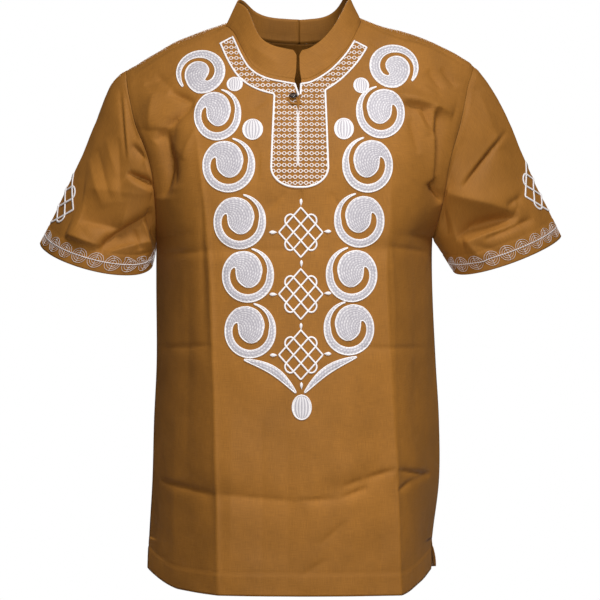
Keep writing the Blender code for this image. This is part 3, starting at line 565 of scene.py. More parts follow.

# Creases read off the picture: both ends in picture points, width to the left and to
# the right of the way from the first to the second in picture points, height in millimetres
FRONT_CREASES_SEEN = (
    (163, 124.8, 161, 195.35, 7.45, 6.65, -17.5),
    (166, 150, 172, 186, 7, 5, -6.0),
    (192, 102, 160, 128, 3, 3, -5.3),
    (161, 127, 152, 139, 3, 3, -4.5),
    (166, 86, 193, 99, 4, 4, -7.5),
    (150, 86, 146, 126, 10, 9, 6.0),
    (196, 126, 180, 158, 4, 4, 3.7),
    (175, 112, 168, 140, 5, 5, -2.0),
    (396, 92, 457, 110, 9, 4.5, 10.5),
    (404, 101, 436, 105, 3, 5, -6.7),
    (434, 103, 435, 182, 2.5, 6, 7.5),
    (440, 105.2, 440, 186, 9, 3.15, -10.5),
    (435.1, 178.1, 446.4, 199.3, 4.7, 4.7, -13.0),
    (424, 104, 437, 134, 3, 3, -5.3),
    (411, 116, 421, 152, 3, 4, -3.7),
    (417, 106, 429, 134, 3, 3, 3.7),
    (194, 120, 207, 226, 3, 3, 1.6),
    (206, 210, 214, 400, 2.5, 2.5, 1.4),
    (214, 380, 219, 592, 2.2, 2.2, 1.4),
    (391, 180, 396, 400, 2.5, 2.5, 1.4),
    (396, 380, 400, 592, 2.2, 2.2, 1.2),
    (209, 226, 213, 350, 3, 3, 1.6),
    (201, 190, 203, 330, 3, 3, -1.6),
    (386, 250, 389, 350, 3, 3, 1.2),
    (152, 252, 214, 250, 2.2, 4, -2.0),
    (214, 251, 330, 249, 2.2, 4, -1.2),
    (385, 246, 434, 250, 2.2, 4, -2.0),
    (156, 349, 214, 345, 2.2, 4, -1.6),
    (330, 346, 434, 349, 2.2, 4, -1.6),
    (155, 487, 216, 495, 2.2, 3.5, -3.6),
    (216, 494, 302, 501, 2.2, 3.5, -1.6),
    (296, 500, 342, 498, 2.2, 3.5, -2.2),
    (340, 498, 368, 487, 2.2, 3, -3.9),
    (342, 486, 366, 478, 2.2, 3, -2.0),
    (364, 479, 397, 469, 2.2, 3, -3.6),
    (397, 470, 436, 480, 2.2, 3, -3.6),
    (398, 492, 414, 482, 2.2, 3, -3.6),
    (412, 483, 434, 479, 2.2, 3, -1.8),
    (318, 545, 346, 520, 3, 4, -1.4),
    (296, 578, 330, 556, 3, 4, -1.4),
    (232, 400, 230, 590, 12, 12, 1.8),
    (262, 410, 262, 592, 10, 10, -1.8),
    (288, 430, 288, 592, 9, 9, -1.8),
    (312, 410, 312, 592, 12, 10, 2.2),
    (350, 400, 352, 592, 12, 12, 1.8),
    (378, 400, 382, 592, 9, 9, -1.6),
    (186, 260, 184, 480, 9, 9, -2.0),
    (172, 420, 170, 590, 9, 9, 1.6),
    (418, 230, 420, 470, 9, 9, -2.0),
    (268, 96, 250, 108, 3, 4, -1.6),
    (262, 140, 256, 185, 3, 4, -1.6),
    (258, 105, 262, 180, 4, 4, 1.4),
    (336, 100, 342, 150, 3, 4, -1.5),
    (286, 192, 262, 216, 3, 4, -1.8),
    (330, 192, 345, 214, 3, 4, -1.8),
    (301, 190, 301, 206, 2.2, 2.2, -2.2),
    (176, 62, 140, 78, 4, 5, -3.7),
    (150, 66, 170, 84, 4, 4, -2.0),
    (432, 62, 446, 84, 4, 4, -3.7),
    (446, 60, 462, 80, 3, 4, -3.7),
    (424, 80, 440, 92, 4, 5, 2.0),
    (386, 42, 372, 34, 2.2, 3, -1.5),
)
SLEEVE_CREASES_SEEN = (
    (127, 84, 139, 142, 3, 3, -5.9),
    (119, 86, 127, 160, 2, 2, -2.7),
    (123, 90, 131, 165, 2, 3, 2.4),
    (133, 146, 148, 161, 3, 4, -5.1),
    (129, 174, 160, 188, 3, 3.4, -13.5),
    (128, 180, 154, 194, 5, 7, 5.1),
    (157, 186, 159, 216, 3, 3, -6.8),
    (98, 249, 157, 213, 5, 10, -13.6),
    (104, 254, 150, 240, 4, 7, 8.5),
    (66, 234, 104, 247, 15, 4, 11.0),
    (84, 188, 152, 196, 16, 18, 6.0),
    (80, 220, 122, 230, 18, 5, -9.3),
    (88, 158, 105, 208, 5, 6, 2.4),
    (96, 148, 113, 202, 4, 5, -2.2),
    (105, 138, 119, 178, 5, 5, 1.8),
    (118, 138, 123, 202, 6, 6, -3.2),
    (150, 208, 157, 252, 2.5, 3, -5.8),
    (145, 220, 151, 252, 2.5, 2.5, 4.1),
    (136, 232, 140, 250, 3, 3, -4.1),
    (80, 226, 104, 256, 6, 6, -2.6),
    (461, 78, 465, 104, 2.6, 2.6, -6.8),
    (465, 102, 456, 130, 2.6, 2.6, -6.8),
    (472, 69, 462, 82, 2.2, 2.2, -3.1),
    (446, 128, 446, 190, 6, 6, -5.1),
    (508, 130, 461, 188, 2.2, 2.2, -5.4),
    (500, 132, 456, 186, 6, 4, 3.4),
    (444, 192, 515, 213, 15, 9, 12.7),
    (519, 216, 456, 236, 4, 15, -15.3),
    (521, 223, 464, 243, 7, 4, 8.5),
    (534, 218, 483, 241, 3, 4, -7.8),
    (463, 235, 484, 262, 12, 8, 8.5),
    (505, 207, 522, 196, 3, 4, -4.4),
    (440, 200, 448, 236, 4, 4, -5.1),
    (470, 244, 500, 252, 5, 6, -2.7),
    (478, 90, 500, 150, 9, 9, 3.4),
)

# Creases of the back and the collar: x and z of both ends, width to the left and to the
# right, height above the cloth
BACK_CREASES = (
    (-0.172, -0.165, -0.168, -0.320, 0.006, 0.006, -0.0014),
    (0.168, -0.160, 0.166, -0.300, 0.006, 0.006, -0.0016),
    (-0.140, -0.120, -0.090, -0.160, 0.006, 0.006, -0.0016),
    (0.146, -0.122, 0.088, -0.168, 0.006, 0.006, -0.0018),
    (-0.060, -0.305, 0.140, -0.300, 0.005, 0.005, -0.0012),
    (-0.160, -0.428, -0.020, -0.432, 0.005, 0.005, -0.0010),
    (0.020, -0.430, 0.150, -0.424, 0.005, 0.005, -0.0010),
    (-0.170, -0.612, -0.020, -0.606, 0.005, 0.005, -0.0014),
    (0.000, -0.607, 0.160, -0.618, 0.005, 0.005, -0.0014),
    (0.030, -0.100, 0.024, -0.300, 0.008, 0.008, -0.0010),
    (-0.080, -0.180, -0.088, -0.420, 0.008, 0.008, -0.0010),
    (0.060, -0.640, 0.070, -0.735, 0.007, 0.007, 0.0010),
)
COLLAR_CREASES = (
    (-0.070, -0.048, -0.046, -0.073, 0.0040, 0.0045, -0.0026),
    (-0.052, -0.068, -0.004, -0.084, 0.0035, 0.0045, -0.0024),
    (-0.072, -0.030, -0.020, -0.064, 0.0070, 0.0070, 0.0020),
    (0.022, -0.036, 0.050, -0.058, 0.0035, 0.0035, -0.0014),
    (0.064, -0.054, 0.038, -0.073, 0.0040, 0.0040, -0.0018),
    (0.044, -0.071, 0.005, -0.084, 0.0035, 0.0035, -0.0020),
    (0.018, -0.050, 0.044, -0.046, 0.0060, 0.0060, 0.0014),
)


def mix(first, second, share):
    return first + (second - first) * share


def ease(value, low, high):
    """0 below low, 1 above high, and a smooth step between them."""
    share = min(max((value - low) / (high - low), 0.0), 1.0)
    return share * share * (3.0 - 2.0 * share)


def curve_at(table, key, column):
    """A column of a table, read on a smooth curve through its rows."""
    keys = [row[0] for row in table]
    values = [row[column] for row in table]
    last = len(keys) - 1
    i = min(max(int(np.searchsorted(keys, key)) - 1, 0), last - 1)
    span = keys[i + 1] - keys[i]
    share = min(max((key - keys[i]) / span, 0.0), 1.0)

    def slope(k):
        low, high = max(k - 1, 0), min(k + 1, last)
        return (values[high] - values[low]) / (keys[high] - keys[low]) * span

    square, cube = share ** 2, share ** 3
    return (
        values[i] * (2 * cube - 3 * square + 1)
        + slope(i) * (cube - 2 * square + share)
        + values[i + 1] * (3 * square - 2 * cube)
        + slope(i + 1) * (cube - square)
    )


def side_index(side):
    return 0 if side < 0 else 1


def side_share(part, roundness):
    """Distance covered across the side after a part of it, from 0 to 1."""
    return (1 - roundness) * part + roundness * math.sin(math.pi / 2 * part)


def side_values(side, height):
    """Half width, crease distance, roundness and the part in front of the armhole."""
    i = side_index(side)
    width = curve_at(BODY, height, WIDTH[i])
    crease = curve_at(BODY, height, CREASE[i])
    roundness = curve_at(BODY, height, ROUNDNESS)
    part = 1.0
    if height > UNDERARM_Z:
        part = curve_at(ARMHOLE, height, 1)
        reach = curve_at(ARMHOLE, height, 2 + i)
        width = crease + (reach - crease) / side_share(part, roundness)
    return width, crease, roundness, part


def column_at(side, step, height):
    """Distance from the middle and part of the side, for a column at a height."""
    width, crease, roundness, part = side_values(side, height)
    if step > FACET_COLUMNS:
        here = part * (step - FACET_COLUMNS) / SIDE_COLUMNS
        start = mix(crease, RIDGE_CREASE_X, ease(height, SMOOTH_FROM_Z, SMOOTH_TO_Z))
        return start + (width - start) * side_share(here, roundness), here
    neck_half = NECK_HALF[side_index(side)]
    if step <= NECK_COLUMNS:
        settled = neck_half * float(np.interp(step, range(NECK_COLUMNS + 1), NECK_STEPS))
    else:
        beyond = (step - NECK_COLUMNS) / (FACET_COLUMNS - NECK_COLUMNS)
        settled = mix(neck_half, RIDGE_CREASE_X, beyond)
    plain = crease * step / FACET_COLUMNS
    return mix(plain, settled, ease(height, SMOOTH_FROM_Z, SMOOTH_TO_Z)), 0.0


def depth_at(side, face, x, part, height):
    """Depth of the front (face 0) or the back (face 1), before the shoulders close."""
    width, crease, roundness, _ = side_values(side, height)
    depth = curve_at(BODY, height, DEPTH[face])
    if x <= crease:
        creased = depth * (1 - FACET_RISE * (x / crease) ** 2)
    else:
        turn = math.cos(math.pi / 2 * part)
        creased = depth * (1 - FACET_RISE) * mix(1 - part, turn, roundness)
    smooth = depth * max(1 - (x / width) ** ROUND_POWER, 0.0) ** (1 / ROUND_POWER)
    fade = min(max((roundness - CREASE_FADES_FROM) / (1 - CREASE_FADES_FROM), 0.0), 1.0)
    return mix(creased, smooth, fade)


RIDGES = {}


def column_ridge(side, step):
    """Height of the shoulder ridge and drop of its seam, where a column meets it."""
    key = (side, round(step, 6))
    if key not in RIDGES:
        height = 0.0
        for _ in range(8):
            x, _ = column_at(side, step, height)
            height = curve_at(RIDGE, x, 1 + side_index(side))
        RIDGES[key] = height, curve_at(RIDGE, x, 3)
    return RIDGES[key]


def end_turn(side, step, face):
    """Angle over the shoulder at which a column of the front or the back ends."""
    ridge, drop = column_ridge(side, step)
    span = ridge - DOME_Z
    seam = math.asin((ridge - drop - DOME_Z) / span)
    if step > NECK_COLUMNS:
        return seam if face == 0 else math.pi - seam
    share = float(np.interp(step, range(NECK_COLUMNS + 1), NECK_STEPS))
    column = 1 + side_index(side) if face == 0 else 3
    rise = curve_at(NECKLINE, share, column)
    if face == 0:
        height = mix(NECK_FRONT_Z, ridge - drop, rise)
        return math.asin((height - DOME_Z) / span)
    low = math.asin((NECK_BACK_Z - DOME_Z) / span)
    return mix(low, math.pi - seam, rise)


def fold_height(folds, x, z):
    """Height of the main folds at a place, soft ridges or troughs with tapered ends."""
    total = 0.0
    for x0, z0, x1, z1, half_width, height in folds:
        run_x, run_z = x1 - x0, z1 - z0
        length = run_x * run_x + run_z * run_z
        share = ((x - x0) * run_x + (z - z0) * run_z) / length
        if not 0.0 < share < 1.0:
            continue
        away = math.hypot(x - x0 - run_x * share, z - z0 - run_z * share) / half_width
        total += height * math.exp(-away * away) * math.sin(math.pi * share) ** FOLD_TAPER
    return total


def lower_heights():
    """Heights of the rows from the hem to the underarm."""
    plain = np.linspace(VENT_TOP_Z, UNDERARM_Z, LOWER_ROWS - 1)
    return [HEM_Z, HEM_STITCH_Z] + [float(z) for z in plain]


LOWER_HEIGHTS = lower_heights()


def body_point(side, step, row, face):
    """A point of the front or the back, at any place on the grid of the body."""
    sign = -1 if face == 0 else 1
    last_lower = len(LOWER_HEIGHTS) - 1
    closing = 1.0
    shown_face = face
    if row <= last_lower:
        height = float(np.interp(row, range(last_lower + 1), LOWER_HEIGHTS))
    else:
        last_turn = end_turn(side, step, face)
        whole = STRAIGHT_RISE + TURN_RADIUS * last_turn
        way = whole * (row - last_lower) / UPPER_ROWS
        if way <= STRAIGHT_RISE:
            height = UNDERARM_Z + way
        else:
            turn = (way - STRAIGHT_RISE) / TURN_RADIUS
            ridge, _ = column_ridge(side, step)
            height = DOME_Z + (ridge - DOME_Z) * math.sin(turn)
            closing = abs(math.cos(turn))
            if turn > math.pi / 2:
                shown_face, sign = 0, -1
    x, part = column_at(side, step, height)
    y = depth_at(side, shown_face, x, part, height) * closing
    folds = FRONT_FOLDS if face == 0 else BACK_FOLDS
    edge_distance = (HALF_COLUMNS - step) / SIDE_COLUMNS
    y += fold_height(folds, side * x, height) * min(edge_distance, 1.0) * closing
    shift = Vector((0.0, 0.0, 0.0))
    if height < VENT_TOP_Z:
        shift = hem_shift(side, step, height, face)
    return Vector((side * x, sign * y, height)) + shift


def hem_shift(side, step, height, face):
    """Rounded hem corner and the spread of the side vent."""
    width, crease, roundness, _ = side_values(side, height)
    part = max(step - FACET_COLUMNS, 0) / SIDE_COLUMNS
    from_seam = (width - crease) * (1 - side_share(part, roundness))
    open_share = ease(-height, -VENT_TOP_Z, -HEM_Z)
    near = 1 - ease(from_seam, 0.0, VENT_REACH)
    spread = open_share * near
    corner = max(1 - from_seam / HEM_CORNER, 0.0) ** HEM_CORNER_POWER * HEM_CORNER_RISE
    rise = corner * ease(-height, -HEM_CORNER_TOP_Z, -HEM_Z)
    if face == 0:
        return Vector((0.0, -VENT_SPREAD_Y * spread, rise))
    aside = VENT_SPREAD_X[side_index(side)] * spread
    return Vector((side * aside, VENT_SPREAD_Y * spread, rise))


def body_grid(face):
    """Fine grid of the front or the back, seen from outside from left to right."""
    rows = (LOWER_ROWS + UPPER_ROWS) * FINE_ROWS + 1
    half = HALF_COLUMNS * FINE
    first = -1 if face == 0 else 1
    columns = [(first, step / FINE) for step in range(half, -1, -1)]
    columns += [(-first, step / FINE) for step in range(0 if face == 0 else 1, half + 1)]
    grid = np.zeros((rows, len(columns), 3))
    for row in range(rows):
        for k, (side, step) in enumerate(columns):
            point = body_point(side, step, row / FINE_ROWS, face)
            if face == 0 and step < 1:
                edge = SLIT_CLOSED
                if point.z > SLIT_FOOT_Z:
                    edge = curve_at(SLIT, min(point.z, NECK_FRONT_Z), 1)
                beside = body_point(side, 1.0, row / FINE_ROWS, face)
                point.x = side * mix(edge, abs(beside.x), step)
            grid[row, k] = point
    return grid


def collar_grid(front, back):
    """Fine grid of the stand collar, from its seam on the neckline to its upper edge."""
    neck = NECK_COLUMNS * FINE
    middle = HALF_COLUMNS * FINE
    right = front[-1, middle + 1:middle + 2 + neck]
    left = front[-1, middle - neck:middle + 1]
    rear = back[-1, middle - neck:middle + neck + 1]
    base = np.concatenate([right, rear[1:-1], left])
    last = len(base) - 1
    grid = np.zeros((COLLAR_LEVELS + 1, len(base), 3))
    for i, place in enumerate(base):
        foot = Vector(place)
        inward = Vector((-foot.x, NECK_MIDDLE_Y - foot.y, 0.0)).normalized()
        behind = ease(foot.y, COLLAR_TURN_Y, 0.0)
        lean = math.radians(curve_at(COLLAR_LEAN, foot.y, 1))
        from_end = max(1 - min(i, last - i) / FINE, 0.0)
        height = mix(COLLAR_HEIGHT, COLLAR_BACK_HEIGHT, behind)
        height -= COLLAR_CORNER_DROP * from_end ** COLLAR_CORNER_POWER
        rise = Vector((0.0, 0.0, math.cos(lean))) + inward * math.sin(lean)
        for level in range(COLLAR_LEVELS + 1):
            share = level / COLLAR_LEVELS
            point = foot + rise * (height * share)
            narrow = COLLAR_END_NARROW * math.sin(math.pi / 2 * min(2 * share, 1.0))
            point.x += (-1 if i <= last / 2 else 1) * narrow * from_end
            grid[level, i] = point
    return grid


def armhole_loop(front, back, side):
    """Points round an armhole: up the front edge, over the shoulder, down the back."""
    front_column = 0 if side < 0 else -1
    back_column = -1 if side < 0 else 0
    first = LOWER_ROWS * FINE_ROWS
    up = front[first:, front_column]
    down = back[first:, back_column]
    return np.concatenate([up, down[-2:0:-1]])


def sleeve_grid(front, back, row):
    """Fine grid of a sleeve, rings from the armhole to the hem, closed round the arm."""
    _, side, outer_x, outer_z, inner_x, inner_z, droop_front, droop_back = row[:8]
    bulge, fullest = row[8:]
    loop = armhole_loop(front, back, side)
    count = len(loop)
    outer = Vector((outer_x, 0.0, outer_z))
    inner = Vector((inner_x, 0.0, inner_z))
    middle = (outer + inner) / 2
    half = (outer - inner) / 2
    tip = Vector(loop[count // 2])
    along = (outer - tip).normalized()
    bulge_way = Vector((side * -along.z, 0.0, side * along.x))
    rings = SLEEVE_RINGS * FINE_RINGS
    grid = np.zeros((rings + 1, count, 3))
    for ring in range(rings + 1):
        share = ring / rings
        swell = share / fullest * math.exp(1 - share / fullest) * (1 - share ** 4)
        for i in range(count):
            angle = 2 * math.pi * i / count
            end = middle - half * math.cos(angle)
            topness = math.sin(angle / 2) ** 2
            sharpness = 1 + SLEEVE_FOLD_SHARPNESS * topness
            away = math.copysign(abs(math.sin(angle)) ** sharpness, math.sin(angle))
            end.y = -SLEEVE_HEM_DEPTH * away
            droop = droop_front if math.sin(angle) > 0 else droop_back
            end.z -= droop * abs(math.sin(angle)) * (1 + DROOP_INWARD * math.cos(angle))
            point = Vector(loop[i]).lerp(end, share)
            point += bulge_way * (bulge * swell * topness)
            if point.y < 0:
                inside = math.sin(math.pi * min(share, 0.5))
                point.y -= fold_height(SLEEVE_FOLDS, point.x, point.z) * inside
            grid[ring, i] = point
    if side > 0:
        grid = np.concatenate([grid[:, :1], grid[:, :0:-1]], axis=1)
    return grid


def along_steps(points, axis):
    """Distance along the lines of a grid, in metres."""
    steps = np.linalg.norm(np.diff(points, axis=axis), axis=2)
    start = np.zeros_like(np.take(steps, [0], axis=axis))
    return np.concatenate([start, np.cumsum(steps, axis=axis)], axis=axis)


def unit(vectors):
    """Vectors made one long."""
    return vectors / np.maximum(np.linalg.norm(vectors, axis=-1, keepdims=True), TINY)


def grid_normals(points, closed):
    """Unit normals of a grid, out of the cloth."""
    if closed:
        across = np.roll(points, -1, axis=1) - np.roll(points, 1, axis=1)
    else:
        across = np.gradient(points, axis=1)
    return unit(np.cross(across, np.gradient(points, axis=0)))


def creases_seen(rows, point):
    """Creases read off the picture in metres, to a tenth of a millimetre: x and z of both
    ends, both widths and the height above the cloth.
    """
    middle_x, _, middle_z = CAMERA_PLACE
    found = []
    for x0, y0, x1, y1, left_width, right_width, height in rows:
        values = (
            middle_x + (x0 - PICTURE_MIDDLE) * point, middle_z - (y0 - PICTURE_MIDDLE) * point,
            middle_x + (x1 - PICTURE_MIDDLE) * point, middle_z - (y1 - PICTURE_MIDDLE) * point,
            left_width * point, right_width * point, height / 1000,
        )
        found.append([round(value, 4) for value in values])
    return found


def crease_height(creases, points):
    """Height of the finer creases at each point, with a narrow crest and tapered ends."""
    total = np.zeros(points.shape[:2])
    x, z = points[:, :, 0], points[:, :, 2]
    for x0, z0, x1, z1, left_width, right_width, height in creases:
        run_x, run_z = x1 - x0, z1 - z0
        length = math.hypot(run_x, run_z)
        share = ((x - x0) * run_x + (z - z0) * run_z) / length ** 2
        aside = ((z - z0) * run_x - (x - x0) * run_z) / length
        away = np.abs(aside) / np.where(aside > 0, left_width, right_width)
        taper = np.sin(np.pi * np.clip(share, 0.0, 1.0)) ** CREASE_TAPER
        total += height * np.exp(-away ** CREST_POWER) * taper
    return total


def wave_height(points, seed):
    """Slow uneven waves and small rumples that all worn cloth has."""
    waves = np.zeros(points.shape[:2])
    shift = Vector([seed * part for part in RUMPLE_SHIFT])
    for index in np.ndindex(waves.shape):
        place = Vector(points[index])
        for size, height in RUMPLES:
            waves[index] += height * noise.noise(place / size + shift)
    return waves


def seam_height(distance):
    """Relief beside a seam: a narrow dip at the stitching and the doubled cloth next to it."""
    near = distance / SEAM_DIP_WIDTH
    dip = -SEAM_DIP * near * np.exp(1 - near)
    inner = np.clip(distance / SEAM_RISE_FROM, 0.0, 1.0)
    outer = np.clip((SEAM_ALLOWANCE - distance) / SEAM_RISE_FROM, 0.0, 1.0)
    return dip + SEAM_RISE * inner * outer


def finished_grid(points, creases, seed, seams, hem=None, closed=False, front_only=False):
    """A fine grid with its creases, waves, seams and hem pressed into it."""
    normals = grid_normals(points, closed)
    down = along_steps(points, 0)
    up = down[-1:] - down
    reach = {"top": up, "bottom": down}
    if not closed:
        from_first = along_steps(points, 1)
        reach["first"], reach["last"] = from_first, from_first[:, -1:] - from_first
    fade = np.ones(points.shape[:2])
    relief = np.zeros(points.shape[:2])
    for seam in seams:
        fade *= np.clip(reach[seam] / SEAM_FADE, 0.0, 1.0)
        relief += seam_height(reach[seam])
    crests = crease_height(creases, points)
    if front_only:
        crests *= np.clip(-points[:, :, 1] / FRONT_FADE, 0.0, 1.0)
    relief += (crests + wave_height(points, seed)) * fade
    if hem is not None:
        edge, depth = hem
        inside = np.clip((depth - reach[edge]) / HEM_STEP, 0.0, 1.0)
        relief += HEM_RISE * inside
        relief -= HEM_STITCH_DIP * np.exp(-((reach[edge] - depth) / SEAM_DIP_WIDTH) ** 2)
    return points + normals * relief[:, :, None]


def lining(points, thickness, closed):
    """Inner layer of a grid, low enough to stay behind every crease between its points."""
    normals = grid_normals(points, closed)
    rows, columns = points.shape[:2]
    lowest = np.zeros((rows, columns))
    for row_step in (-1, 0, 1):
        for column_step in (-1, 0, 1):
            beside_row = np.clip(np.arange(rows) + row_step, 0, rows - 1)
            beside_column = np.arange(columns) + column_step
            if closed:
                beside_column = beside_column % columns
            else:
                beside_column = np.clip(beside_column, 0, columns - 1)
            away = points[beside_row][:, beside_column] - points
            lowest = np.minimum(lowest, (away * normals).sum(axis=2))
    return points + normals * (lowest - thickness)[:, :, None]


def shell(name, points, thickness, material, closed=False, slit=None):
    """Thin closed piece of cloth: a fine outer layer, a coarser inner one and a rim."""
    rows, columns = points.shape[:2]
    inner = lining(points, thickness, closed)
    kept = list(range(0, columns, 2))
    if slit is not None:
        kept = list(range(0, slit[1] + 1, 2)) + list(range(slit[1] + 1, columns, 2))
    pairs = list(zip(kept, kept[1:] + ([0] if closed else [])))

    def index(row, column):
        return row * columns + column % columns

    def is_open(row, column):
        return slit is not None and column == slit[1] and row >= slit[0]

    faces = [
        (index(row, column), index(row, column + 1), index(row + 1, column + 1),
         index(row + 1, column))
        for row in range(rows - 1)
        for column in range(columns if closed else columns - 1)
        if not is_open(row, column)
    ]
    count = rows * columns
    edges = {}
    for row in range(0, rows - 1, 2):
        for first, second in pairs:
            if is_open(row, first):
                continue
            corners = [(row, first), (row, second), (row + 2, second), (row + 2, first)]
            faces.append(tuple(count + index(*corner) for corner in reversed(corners)))
            for start, end in zip(corners, corners[1:] + corners[:1]):
                if (end, start) in edges:
                    del edges[(end, start)]
                else:
                    edges[(start, end)] = True
    for start, end in edges:
        rim = [index(*end), index(*start), count + index(*start), count + index(*end)]
        if abs(end[0] - start[0]) == 2:
            rim.insert(1, index((start[0] + end[0]) // 2, start[1]))
        elif (end[1] - start[1]) % columns == 2:
            rim.insert(1, index(start[0], start[1] + 1))
        elif (start[1] - end[1]) % columns == 2:
            rim.insert(1, index(start[0], end[1] + 1))
        faces.append(tuple(rim))
    places = np.concatenate([points.reshape(-1, 3), inner.reshape(-1, 3)])
    mesh = bpy.data.meshes.new(name)
    mesh.from_pydata([tuple(place) for place in places], [], faces)
    across = along_steps(points, 1)
    across -= across[:, columns // 2:columns // 2 + 1]
    flat = np.stack([across, along_steps(points, 0)], axis=2).reshape(-1, 2)
    set_flat(mesh, np.concatenate([flat, flat]))
    drop_loose(mesh)
    return add_piece(name, mesh, material)


def set_flat(mesh, flat):
    """Flat coordinates of a mesh, given for each of its points."""
    corners = np.zeros(len(mesh.loops), dtype=np.int32)
    mesh.loops.foreach_get("vertex_index", corners)
    layer = mesh.uv_layers.new(name="UVMap")
    layer.data.foreach_set("uv", np.array(flat, dtype=np.float32)[corners].ravel())


def drop_loose(mesh):
    """Removes the points that no face uses."""
    work = bmesh.new()
    work.from_mesh(mesh)
    loose = [vertex for vertex in work.verts if not vertex.link_faces]
    bmesh.ops.delete(work, geom=loose, context="VERTS")
    work.to_mesh(mesh)
    work.free()


def add_piece(name, mesh, material):
    """Object for a finished mesh, smooth, riding on the shirt."""
    mesh.materials.append(material)
    mesh.polygons.foreach_set("use_smooth", [True] * len(mesh.polygons))
    mesh.update()
    piece = bpy.data.objects.new(name, mesh)
    bpy.context.scene.collection.objects.link(piece)
    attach(piece, "root")
    return piece


def cloth_tree(points, omitted):
    """Search tree on the outer surface of a finished grid."""
    rows, columns = points.shape[:2]
    faces = []
    for row in range(rows - 1):
        for column in range(columns - 1):
            if (row, column) in omitted:
                continue
            a, d = row * columns + column, (row + 1) * columns + column
            faces += [(a, a + 1, d + 1), (a, d + 1, d)]
    return BVHTree.FromPolygons([tuple(p) for p in points.reshape(-1, 3)], faces)


class Front:
    """Places on the front, given as x and z of the front view."""

    def __init__(self, tree):
        self.tree = tree

    def at(self, x, z):
        start = Vector((x, -1.0, z))
        point, normal, _, _ = self.tree.ray_cast(start, Vector((0.0, 1.0, 0.0)))
        if point is None:
            point, normal, _, _ = self.tree.find_nearest(Vector((x, FRONT_Y, z)))
        return point, -normal if normal.y > 0 else normal


class Sleeve:
    """Places on a sleeve: distance round from its outer fold, distance above its hem."""

    def __init__(self, points, side):
        self.points = points
        self.normals = grid_normals(points, True)
        self.fold = points.shape[1] // 2
        down = along_steps(points, 0)
        self.above = down[-1:] - down
        around = along_steps(points, 1)
        around = around - around[:, self.fold:self.fold + 1]
        self.around = around * side

    def at(self, across, above):
        """Place and normal, found by turns along a column and round a ring."""
        rings, columns = self.points.shape[:2]
        column, ring = float(self.fold), float(rings - 1)
        for _ in range(SLEEVE_SEARCHES):
            low = min(int(column), columns - 2)
            heights = mix(self.above[:, low], self.above[:, low + 1], column - low)
            ring = float(np.interp(-above, -heights, range(rings)))
            low = min(int(ring), rings - 2)
            widths = mix(self.around[low], self.around[low + 1], ring - low)
            if widths[0] > widths[-1]:
                column = float(np.interp(-across, -widths, range(columns)))
            else:
                column = float(np.interp(across, widths, range(columns)))
        return self.blend(self.points, ring, column), self.blend(self.normals, ring, column)

    def blend(self, values, ring, column):
        r, c = min(int(ring), len(values) - 2), min(int(column), values.shape[1] - 2)
        low = mix(values[r, c], values[r, c + 1], column - c)
        high = mix(values[r + 1, c], values[r + 1, c + 1], column - c)
        return Vector(mix(low, high, ring - r))


class Thread:
    """Points, faces and painted shade of one piece of stitching."""

    def __init__(self):
        self.points, self.faces, self.shades, self.flat = [], [], [], []

    def point(self, place, shade, flat):
        self.points.append(tuple(place))
        self.shades.append(shade)
        self.flat.append(flat)
        return len(self.points) - 1

    def cells(self, lines, round_lines=False, round_rows=False):
        """Faces between rows of point numbers. Points that fall together make triangles."""
        rows = lines + [lines[0]] if round_rows else lines
        for first, second in zip(rows, rows[1:]):
            width = len(first)
            for k in range(width if round_lines else width - 1):
                n = (k + 1) % width
                corners = []
                for corner in (first[k], first[n], second[n], second[k]):
                    if corner not in corners:
                        corners.append(corner)
                if len(corners) > 2:
                    self.faces.append(tuple(corners))

    def ends(self, lines):
        """Faces over both ends of a tube."""
        self.faces.append(tuple(lines[0]))
        self.faces.append(tuple(reversed(lines[-1])))

    def finish(self, name, material, slot="thread"):
        mesh = bpy.data.meshes.new(name)
        mesh.from_pydata(self.points, [], self.faces)
        # Stores the painted shade of each point
        shade = mesh.attributes.new("shade", "FLOAT", "POINT")
        shade.data.foreach_set("value", self.shades)
        set_flat(mesh, self.flat)
        return add_piece(name, mesh, material)


def lay(ground, path, lift):
    """Points and normals of a path that lies on the cloth at a height."""
    lifts = lift if hasattr(lift, "__len__") else [lift] * len(path)
    places, normals = [], []
    for (x, z), height in zip(path, lifts):
        point, normal = ground.at(x, z)
        places.append(point + normal * height)
        normals.append(normal)
    return np.array(places), np.array(normals)


def distances(path):
    """Distance of each point from the start of its path, along the path."""
    steps = np.linalg.norm(np.diff(path, axis=0), axis=1)
    return np.concatenate([[0.0], np.cumsum(steps)])


def spaced(path, step, closed=False):
    """A path with its points at even distances."""
    path = np.array(path, dtype=float)
    if closed:
        path = np.concatenate([path, path[:1]])
    runs = distances(path)
    count = max(int(round(runs[-1] / step)), 2)
    marks = np.linspace(0.0, runs[-1], count + 1)
    if closed:
        marks = marks[:-1]
    return np.stack([np.interp(marks, runs, path[:, k]) for k in range(path.shape[1])], axis=1)


def cord(thread, ground, path, lift, half_width, half_height, closed=False, sides=CORD_SIDES):
    """Round or flattened cord along a path that lies on the cloth."""
    places, normals = lay(ground, path, lift)
    if closed:
        along = np.roll(places, -1, axis=0) - np.roll(places, 1, axis=0)
    else:
        along = np.gradient(places, axis=0)
    across = unit(np.cross(unit(along), normals))
    runs = distances(places)
    lines = []
    last = len(places) - 1
    for i, place in enumerate(places):
        end = CORD_END if not closed and i in (0, last) else 1.0
        line = []
        for k in range(sides):
            angle = 2 * math.pi * k / sides
            offset = across[i] * (math.cos(angle) * half_width * end)
            offset = offset + normals[i] * (math.sin(angle) * half_height * end)
            # The underside of the cord gets painted shade
            shade = 1.0 if math.sin(angle) > UNDERSIDE_FROM else UNDERSIDE_SHADE
            line.append(thread.point(place + offset, shade, (runs[i], k / sides)))
        lines.append(line)
    thread.cells(lines, round_lines=True, round_rows=closed)
    if not closed:
        thread.ends(lines)


